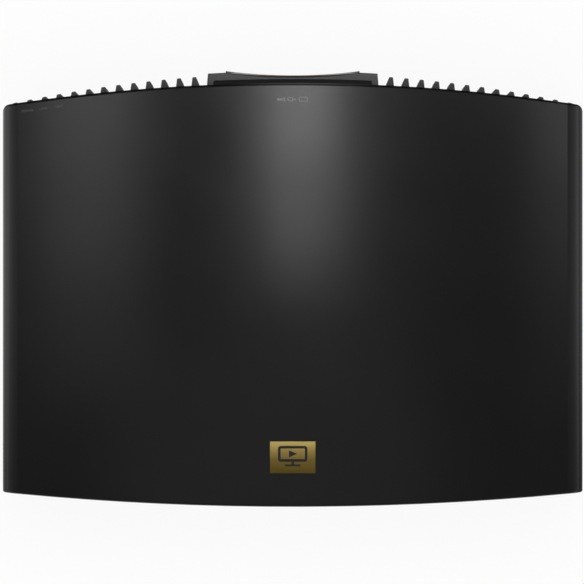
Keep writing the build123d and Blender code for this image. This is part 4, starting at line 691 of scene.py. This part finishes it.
# %% Put a mesh in the scene
def place(name, form, finish, body, slot, smooth=None):
    """Turns a bmesh into a piece that rides on a body."""
    mesh = bpy.data.meshes.new(name)
    form.to_mesh(mesh)
    form.free()
    if smooth:
        mesh.shade_smooth()
        mesh.set_sharp_from_angle(angle=math.radians(smooth))
    piece = bpy.data.objects.new(name, mesh)
    bpy.context.scene.collection.objects.link(piece)
    mesh.materials.append(finish)
    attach(piece, body)
    return piece


print("pieces can be placed")

# %% Flat drawings: outlines and words
CORNER_STEPS, ROUND_STEPS = 6, 28


def mm(*lengths):
    """Millimetres as metres."""
    return [length * MM for length in lengths]


def bar(u0, v0, u1, v1):
    return [(u0, v0), (u1, v0), (u1, v1), (u0, v1)]


def arc(u, v, radius, width, start, stop, steps):
    """A ring or part of one, as short four-sided pieces."""
    angles = [math.radians(start + (stop - start) * k / steps) for k in range(steps + 1)]
    rims = [[(u + r * math.cos(a), v + r * math.sin(a)) for a in angles]
            for r in (radius - width / 2, radius + width / 2)]
    return [[rims[0][k], rims[0][k + 1], rims[1][k + 1], rims[1][k]] for k in range(steps)]


def frame_lines(u, v, width, height, line, radius):
    """The outline of a rectangle with round corners, centred on u and v."""
    outlines = []
    run_u, run_v = width / 2 - radius, height / 2 - radius
    for turn, (su, sv) in enumerate(((1, 1), (-1, 1), (-1, -1), (1, -1))):
        corner = u + su * run_u, v + sv * run_v
        outlines += arc(*corner, radius - line / 2, line, 90 * turn, 90 * turn + 90, CORNER_STEPS)
    for s in (-1, 1):
        edge_v, edge_u = v + s * (height - line) / 2, u + s * (width - line) / 2
        outlines.append(bar(u - run_u, edge_v - line / 2, u + run_u, edge_v + line / 2))
        outlines.append(bar(edge_u - line / 2, v - run_v, edge_u + line / 2, v + run_v))
    return outlines


def words(text, size):
    """The outlines of a word in the built-in letters, centred on 0, 0."""
    letters = bpy.data.curves.new("letters", "FONT")
    letters.body, letters.size = text, size
    letters.align_x, letters.align_y = "CENTER", "CENTER"
    letters.resolution_u = 3
    holder = bpy.data.objects.new("letters", letters)
    bpy.context.scene.collection.objects.link(holder)
    flat = bpy.data.meshes.new_from_object(holder.evaluated_get(bpy.context.evaluated_depsgraph_get()))
    outlines = [[flat.vertices[k].co.xy.to_tuple() for k in face.vertices] for face in flat.polygons]
    bpy.data.objects.remove(holder)
    bpy.data.meshes.remove(flat)
    return outlines


print("drawings can be made")

# %% Lay a drawing on a surface
SAME_POINT = 2e-6
SUNK_SHARE = 0.3  # a film reaches this share of its height into what carries it


def laid(outlines, sit, height):
    """A thin closed film from flat outlines; sit turns u, v and height into a place."""
    form = bmesh.new()
    for outline in outlines:
        form.faces.new([form.verts.new((u, v, 0.0)) for u, v in outline])
    bmesh.ops.remove_doubles(form, verts=form.verts, dist=SAME_POINT)
    bmesh.ops.recalc_face_normals(form, faces=form.faces)
    bmesh.ops.solidify(form, geom=form.faces[:], thickness=height)
    for vert in form.verts:
        u, v, w = vert.co
        vert.co = sit(u, v, height if abs(w) > height / 2 else -SUNK_SHARE * height)
    bmesh.ops.recalc_face_normals(form, faces=form.faces)
    return form


def flat_on(middle, right, up):
    """A sit function for a flat face with the given middle and directions."""
    middle, right, up = Vector(middle), Vector(right), Vector(up)
    out = right.cross(up)
    return lambda u, v, w: middle + right * u + up * v + out * w


def on_cover(x, y, turn=0.0):
    """A sit function for the crowned cover, read upright from behind the projector."""
    cos, sin = math.cos(turn), math.sin(turn)

    def sit(u, v, w):
        at = (x - u * cos + v * sin, y - u * sin - v * cos)
        point = NODES["top_cover"].ray_cast((*at, 1.0), (0.0, 0.0, -1.0))[1]
        return point + Vector((0.0, 0.0, w))

    return sit


print("tools ready")

# %% [markdown]
# ## Printing on the cover
# Three small words behind the front edge name the indicator lamps, and a pictogram behind the lens says
# that the picture can be shifted. It is drawn in plain shapes: bars for the lens, a rounded box and a
# diamond for the movement, and a wider box for the screen. All are printed in a grey only a little
# lighter than the cover. The words follow the slope of the curved edge.

# %% Inks
def ink(name, colour, rough=0.45):
    paint = Finish(name)
    screen = paint.noise(3800.0, 1.0)
    thin = paint.noise(240.0, 2.0)
    base = paint.mix(screen, shade(colour, 0.85), shade(colour, 1.1))
    return paint.surface({"Base Color": paint.mix(thin * 0.4, base, shade(colour, 0.7)),
                          "Roughness": rough + (screen - 0.5) * 0.2, "Normal": paint.bump(screen, 3e-6)})


dim_ink = ink("ink_dim", (0.066, 0.066, 0.067))
mark_ink = ink("ink_mark", (0.18, 0.18, 0.18))
white_ink = ink("ink_white", (0.55, 0.55, 0.54))
black_ink = ink("ink_black", (0.008, 0.008, 0.009), 0.3)
print("inks 4")

# %% Lamp words along the front edge
INK_HEIGHT = 0.04 * MM
WORD_SIZE, EDGE_SLOPE = 2.9 * MM, math.radians(7.4)
WORD_X, WORD_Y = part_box("indicator_lights")[1].x - 1.2 * MM, -150.9 * MM
STEP_X, STEP_Y = mm(-13.4, -1.75)
for k, word in enumerate(("POWER", "LAMP", "TEMP")):
    sit = on_cover(WORD_X + STEP_X * k, WORD_Y + STEP_Y * k, EDGE_SLOPE)
    form = laid(words(word, WORD_SIZE), sit, INK_HEIGHT)
    place(f"print_{word.lower()}", form, dim_ink, "casing", "key_grey")
print("lamp words from y", round(WORD_Y, 4))

# %% The lens-shift mark
MARK_Y = -160.6 * MM
mark = [bar(*mm(-13.2, -1.05, -8.4, 1.05)), bar(*mm(-7.8, -1.55, -6.4, 1.55))]
mark += frame_lines(*mm(-2.0, 0.0, 5.4, 3.5, 0.9, 1.7))
mark.append([mm(1.0, 0.0), mm(1.9, -1.1), mm(2.8, 0.0), mm(1.9, 1.1)])
mark += frame_lines(*mm(9.05, 0.0, 7.9, 4.1, 0.9, 1.3))
mark_form = laid(mark, on_cover(0.0, MARK_Y), INK_HEIGHT)
lens_mark = place("print_lens_shift", mark_form, mark_ink, "casing", "key_grey")
print("lens mark", len(lens_mark.data.polygons), "faces")

# %% [markdown]
# ## The badge's picture
# The badge carries a black print: a wide screen on its stand, with a plain triangle in it. It is the
# common sign for showing a film. A dark mask in the badge's lacquer could draw it too, but a raised film
# keeps its outline crisp however close the camera comes.

# %% A screen in black ink
badge_top = Vector(((badge_low.x + badge_high.x) / 2, (badge_low.y + badge_high.y) / 2, badge_high.z))
THICK_INK = 0.05 * MM
sign = frame_lines(*mm(0.0, 3.0, 25.0, 13.4, 2.2, 2.4))
sign += [bar(*mm(-1.2, -6.0, 1.2, -3.7)), bar(*mm(-6.5, -7.6, 6.5, -6.0))]
sign.append([mm(-3.2, 0.0), mm(3.6, 3.0), mm(-3.2, 6.0)])
sign_form = laid(sign, flat_on(badge_top, (-1, 0, 0), (0, -1, 0)), THICK_INK)
place("badge_print", sign_form, black_ink, "casing", "bezel_black")
print("badge print on", [round(v, 4) for v in badge_top])

# %% [markdown]
# ## Key symbols
# The keypad on the side has a power key, a menu key, a back key and a four-way pad round an OK key. Each
# symbol is printed on its key and has to sink with it, so each rides on that key's own body.

# %% Print the keys
def key_face(key):
    low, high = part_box(key)
    return flat_on((high.x, (low.y + high.y) / 2, (low.z + high.z) / 2), (0, 1, 0), (0, 0, 1))


def arrow_head(turn, size):
    a = math.radians(turn)
    points = ((0.7, 0.0), (-0.5, 0.65), (-0.5, -0.65))
    return [[(size * (u * math.cos(a) - v * math.sin(a)), size * (u * math.sin(a) + v * math.cos(a)))
             for u, v in points]]


SYMBOLS = {
    "power_button": arc(0, 0, *mm(2.6, 0.6), 125, 415, ROUND_STEPS) + [bar(*mm(-0.3, 0.8, 0.3, 3.3))],
    "menu_button": [bar(*mm(-1.8, v - 0.25, 1.8, v + 0.25)) for v in (-1.2, 0.0, 1.2)],
    "back_button": arrow_head(180, 1.4 * MM) + [bar(*mm(0.6, -0.3, 1.9, 0.3))],
    "ok_button": arc(0, 0, *mm(1.9, 0.5), 0, 360, ROUND_STEPS)}
for key, turn in (("up_key", 90), ("down_key", -90), ("left_key", 180), ("right_key", 0)):
    SYMBOLS[key] = arrow_head(turn, 1.1 * MM)
for key, symbol in SYMBOLS.items():
    place(f"symbol_{key}", laid(symbol, key_face(key), THICK_INK), white_ink, key, "key_grey")
print("symbols", len(SYMBOLS))

# %% [markdown]
# ## Dust filters
# Behind the fins of each front grille there is a net that keeps dust out of the fans. It could be a
# picture of a net on a sheet, but through the open fins its depth shows, so it is a curved grid turned
# into real wires. The vents at the rear have a felt filter, folded to and fro so that more of it fits
# behind the slots. It also keeps the light behind the projector from shining through to the front.

# %% A net behind each grille
FRONT_RADIUS, FRONT_EDGE = 1.636, -174.4 * MM  # the cover's front edge, whose curve the net follows
NET_INSET, NET_CELL, NET_WIRE = mm(8.2, 2.7, 0.5)
NET_SIDE_GAP, NET_END_GAP = mm(2.0, 3.4)
net_finish = etched_moulding("net_black", (0.012, 0.012, 0.013), 0.6, 5200.0, 1e-5)
for side in ("left", "right"):
    low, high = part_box(f"{side}_grille")
    x0, x1 = low.x + NET_SIDE_GAP, high.x - NET_SIDE_GAP
    z0, z1 = low.z + NET_END_GAP, high.z - NET_END_GAP
    columns, rows = round((x1 - x0) / NET_CELL), round((z1 - z0) / NET_CELL)
    form = bmesh.new()
    lines = []
    for i in range(columns + 1):
        x = x0 + (x1 - x0) * i / columns
        y = FRONT_EDGE + FRONT_RADIUS - math.sqrt(FRONT_RADIUS ** 2 - x ** 2) + NET_INSET
        lines.append([form.verts.new((x, y, z0 + (z1 - z0) * j / rows)) for j in range(rows + 1)])
    for i in range(columns):
        for j in range(rows):
            form.faces.new((lines[i][j], lines[i + 1][j], lines[i + 1][j + 1], lines[i][j + 1]))
    net = place(f"{side}_dust_net", form, net_finish, "casing", "grille_black")
    wires = net.modifiers.new("wires", "WIREFRAME")
    wires.thickness = NET_WIRE
    print(net.name, columns, "by", rows, "cells")

# %% A pleated filter behind the rear vents
REAR_RADIUS = 2.495  # the rear panel, whose curve the filter follows
PANEL_WALL, PLEAT_GAP, PLEAT_DEPTH, PLEAT_PITCH, FELT = mm(3.0, 0.8, 2.6, 4.0, 0.3)
FILTER_HALF, FILTER_LOW, FILTER_TOP = mm(207.0, 94.5, 128.5)
panel_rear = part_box("rear_panel")[1].y
folds = 2 * round(2 * FILTER_HALF / PLEAT_PITCH)
form = bmesh.new()
pleats = []
for k in range(folds + 1):
    x = FILTER_HALF * (2 * k / folds - 1)
    wall = panel_rear - PANEL_WALL - REAR_RADIUS + math.sqrt(REAR_RADIUS ** 2 - x ** 2)
    y = wall - PLEAT_GAP - (PLEAT_DEPTH if k % 2 else 0.0)
    pleats.append([form.verts.new((x, y, z)) for z in (FILTER_LOW, FILTER_TOP)])
for one, two in zip(pleats, pleats[1:]):
    form.faces.new((*one, *two[::-1]))
bmesh.ops.solidify(form, geom=form.faces[:], thickness=FELT)
bmesh.ops.recalc_face_normals(form, faces=form.faces)
felt = etched_moulding("filter_felt", (0.020, 0.020, 0.020), 0.85, 3600.0, 4e-5)
place("rear_dust_filter", form, felt, "casing", "grille_black")
print("filter with", folds // 2, "pleats")

# %% [markdown]
# ## Turned and ringed pieces
# Stray light in the lens recess would spoil black parts of the picture, so the funnel is ridged like the
# inside of a lens hood. The ridges, the coloured rings of the phono sockets and the hex standoffs beside
# the two wide sockets are all profiles turned round an axis that points to the rear.

# %% Turn a profile round an axis along y
def turned(profile, x, z, steps):
    form = bmesh.new()
    rounds = []
    for k in range(steps):
        a = 2 * math.pi * k / steps
        rounds.append([form.verts.new((x + r * math.sin(a), y, z + r * math.cos(a))) for r, y in profile])
    for k in range(steps):
        one, two = rounds[k], rounds[(k + 1) % steps]
        for i in range(len(profile)):
            j = (i + 1) % len(profile)
            form.faces.new((one[i], one[j], two[j], two[i]))
    bmesh.ops.recalc_face_normals(form, faces=form.faces)
    return form


print("lathe ready")

# %% Ridges in the lens recess
lens_low, lens_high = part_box("lens_barrel")
LENS_HEIGHT = (lens_low.z + lens_high.z) / 2
FUNNEL_FRONT, FUNNEL_REAR = mm(-181.0, -156.0)
FRONT_WALL, REAR_WALL = mm(45.6, 43.1)
RIDGES, RIDGE_TOP, RIDGE_FOOT = 10, *mm(1.3, 0.4)
inner, outer = [], []
for k in range(2 * RIDGES + 1):
    part = k / (2 * RIDGES)
    y = FUNNEL_FRONT + (FUNNEL_REAR - FUNNEL_FRONT) * part
    wall = FRONT_WALL + (REAR_WALL - FRONT_WALL) * part
    inner.append((wall - (RIDGE_TOP if k % 2 else RIDGE_FOOT), y))
    outer.append((wall, y))
trap_finish = etched_moulding("trap_black", (0.008, 0.008, 0.009), 0.7, 3000.0, 2e-5)
ridged = turned(inner + outer[::-1], 0.0, LENS_HEIGHT, steps=120)
place("light_trap", ridged, trap_finish, "casing", "bezel_black", smooth=20)
print("light trap with", RIDGES, "ridges")

# %% Phono rings
io_low, io_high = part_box("io_sockets")
SOCKET_Z = (io_low.z + io_high.z) / 2
BAY_X = 15.0 * MM
# Place in the bay in millimetres, and colour
PHONO = {"green": (70, (0.02, 0.30, 0.05)), "blue": (84, (0.02, 0.08, 0.45)),
         "red": (98, (0.45, 0.02, 0.02))}
# Radius, and how far behind the sockets' face, in millimetres
RING_PROFILE = ((2.0, -0.3), (2.0, 0.25), (2.3, 0.5), (3.0, 0.5), (3.3, 0.25), (3.3, -0.3))
ring = [(r * MM, io_high.y + y * MM) for r, y in RING_PROFILE]
for name, (x, colour) in PHONO.items():
    finish = etched_moulding(f"phono_{name}", colour, 0.35, 2600.0, 5e-6)
    form = turned(ring, BAY_X + x * MM, SOCKET_Z, steps=40)
    place(f"phono_ring_{name}", form, finish, "casing", "key_grey", smooth=30)
print("phono rings", len(PHONO))

# %% Hex standoffs
# Radius and y, in millimetres, from the bay's floor to the rear
STUD_PROFILE = ((1.2, 162.2), (2.6, 162.2), (2.9, 162.6), (2.9, 165.8),
                (2.5, 166.4), (1.5, 166.4), (1.2, 166.1))
WIDE_SOCKETS = (0, 40)  # places in the bay, in millimetres
STUD_ASIDE = 12.3  # from the middle of a wide socket to each of its standoffs, in millimetres
stud = [mm(r, y) for r, y in STUD_PROFILE]
for x in WIDE_SOCKETS:
    for side, s in (("left", -1), ("right", 1)):
        form = turned(stud, BAY_X + (x + STUD_ASIDE * s) * MM, SOCKET_Z, steps=6)
        place(f"standoff_{x}_{side}", form, FINISHES["steel"], "casing", "steel")
print("standoffs", 2 * len(WIDE_SOCKETS))

# %% [markdown]
# ## Labels in the bays and marks on the lens
# Sockets are numbered or carry the plain word for what they do, printed on the floor of the bay above
# them. The focus ring has a scale on its front face and the barrel has an index for it. The scale rides
# on the ring, the index on the barrel.

# %% Socket labels
BAY_FLOOR, LABEL_RISE, LABEL_SIZE = mm(161.0, 13.0, 3.6)
# Word, and its place in the bay in millimetres
LABELS = {"1": -112, "2": -86, "SERVICE": -61, "LAN": -36, "PC": 0, "CONTROL": 40,
          "Y": 70, "Pb": 84, "Pr": 98, "12V": 112, "IR": 123}
for text, x in LABELS.items():
    sit = flat_on((BAY_X + x * MM, BAY_FLOOR, SOCKET_Z + LABEL_RISE), (-1, 0, 0), (0, 0, 1))
    form = laid(words(text, LABEL_SIZE), sit, THICK_INK)
    place(f"label_{text.lower()}", form, white_ink, "casing", "key_grey")
print("labels", len(LABELS))

# %% Focus scale and index
ring_low, ring_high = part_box("focus_ring")
ring_radius = (ring_high.x - ring_low.x) / 2
ring_face = flat_on((0.0, ring_low.y, LENS_HEIGHT), (1, 0, 0), (0, 0, 1))
TICKS_EACH_WAY, TICK_STEP = 6, 10
TICK_RIM, SHORT_TICK, LONG_TICK, TICK_HALF = mm(0.4, 1.5, 2.2, 0.15)
scale = []
for k in range(-TICKS_EACH_WAY, TICKS_EACH_WAY + 1):
    a = math.radians(90 + TICK_STEP * k)
    r0, r1 = ring_radius - (LONG_TICK if k % 3 == 0 else SHORT_TICK), ring_radius - TICK_RIM
    scale.append([(r * math.cos(a) - s * math.sin(a), r * math.sin(a) + s * math.cos(a))
                  for r, s in bar(r0, -TICK_HALF, r1, TICK_HALF)])
place("focus_scale", laid(scale, ring_face, INK_HEIGHT), white_ink, "focus_ring", "key_grey")
barrel_face = flat_on((0.0, lens_low.y, LENS_HEIGHT), (1, 0, 0), (0, 0, 1))
index = [[mm(-0.5, 28.6), mm(0.5, 28.6), mm(0.0, 30.4)]]
place("focus_index", laid(index, barrel_face, INK_HEIGHT), white_ink, "lens", "key_grey")
print("focus scale radius", round(ring_radius, 4))

# %% [markdown]
# ## Last step
# The scene is brought up to date once more. The dressed model must stay in the box of the solids,
# apart from films that are thinner than a hair.

# %% Bring the scene up to date
bpy.context.view_layer.update()
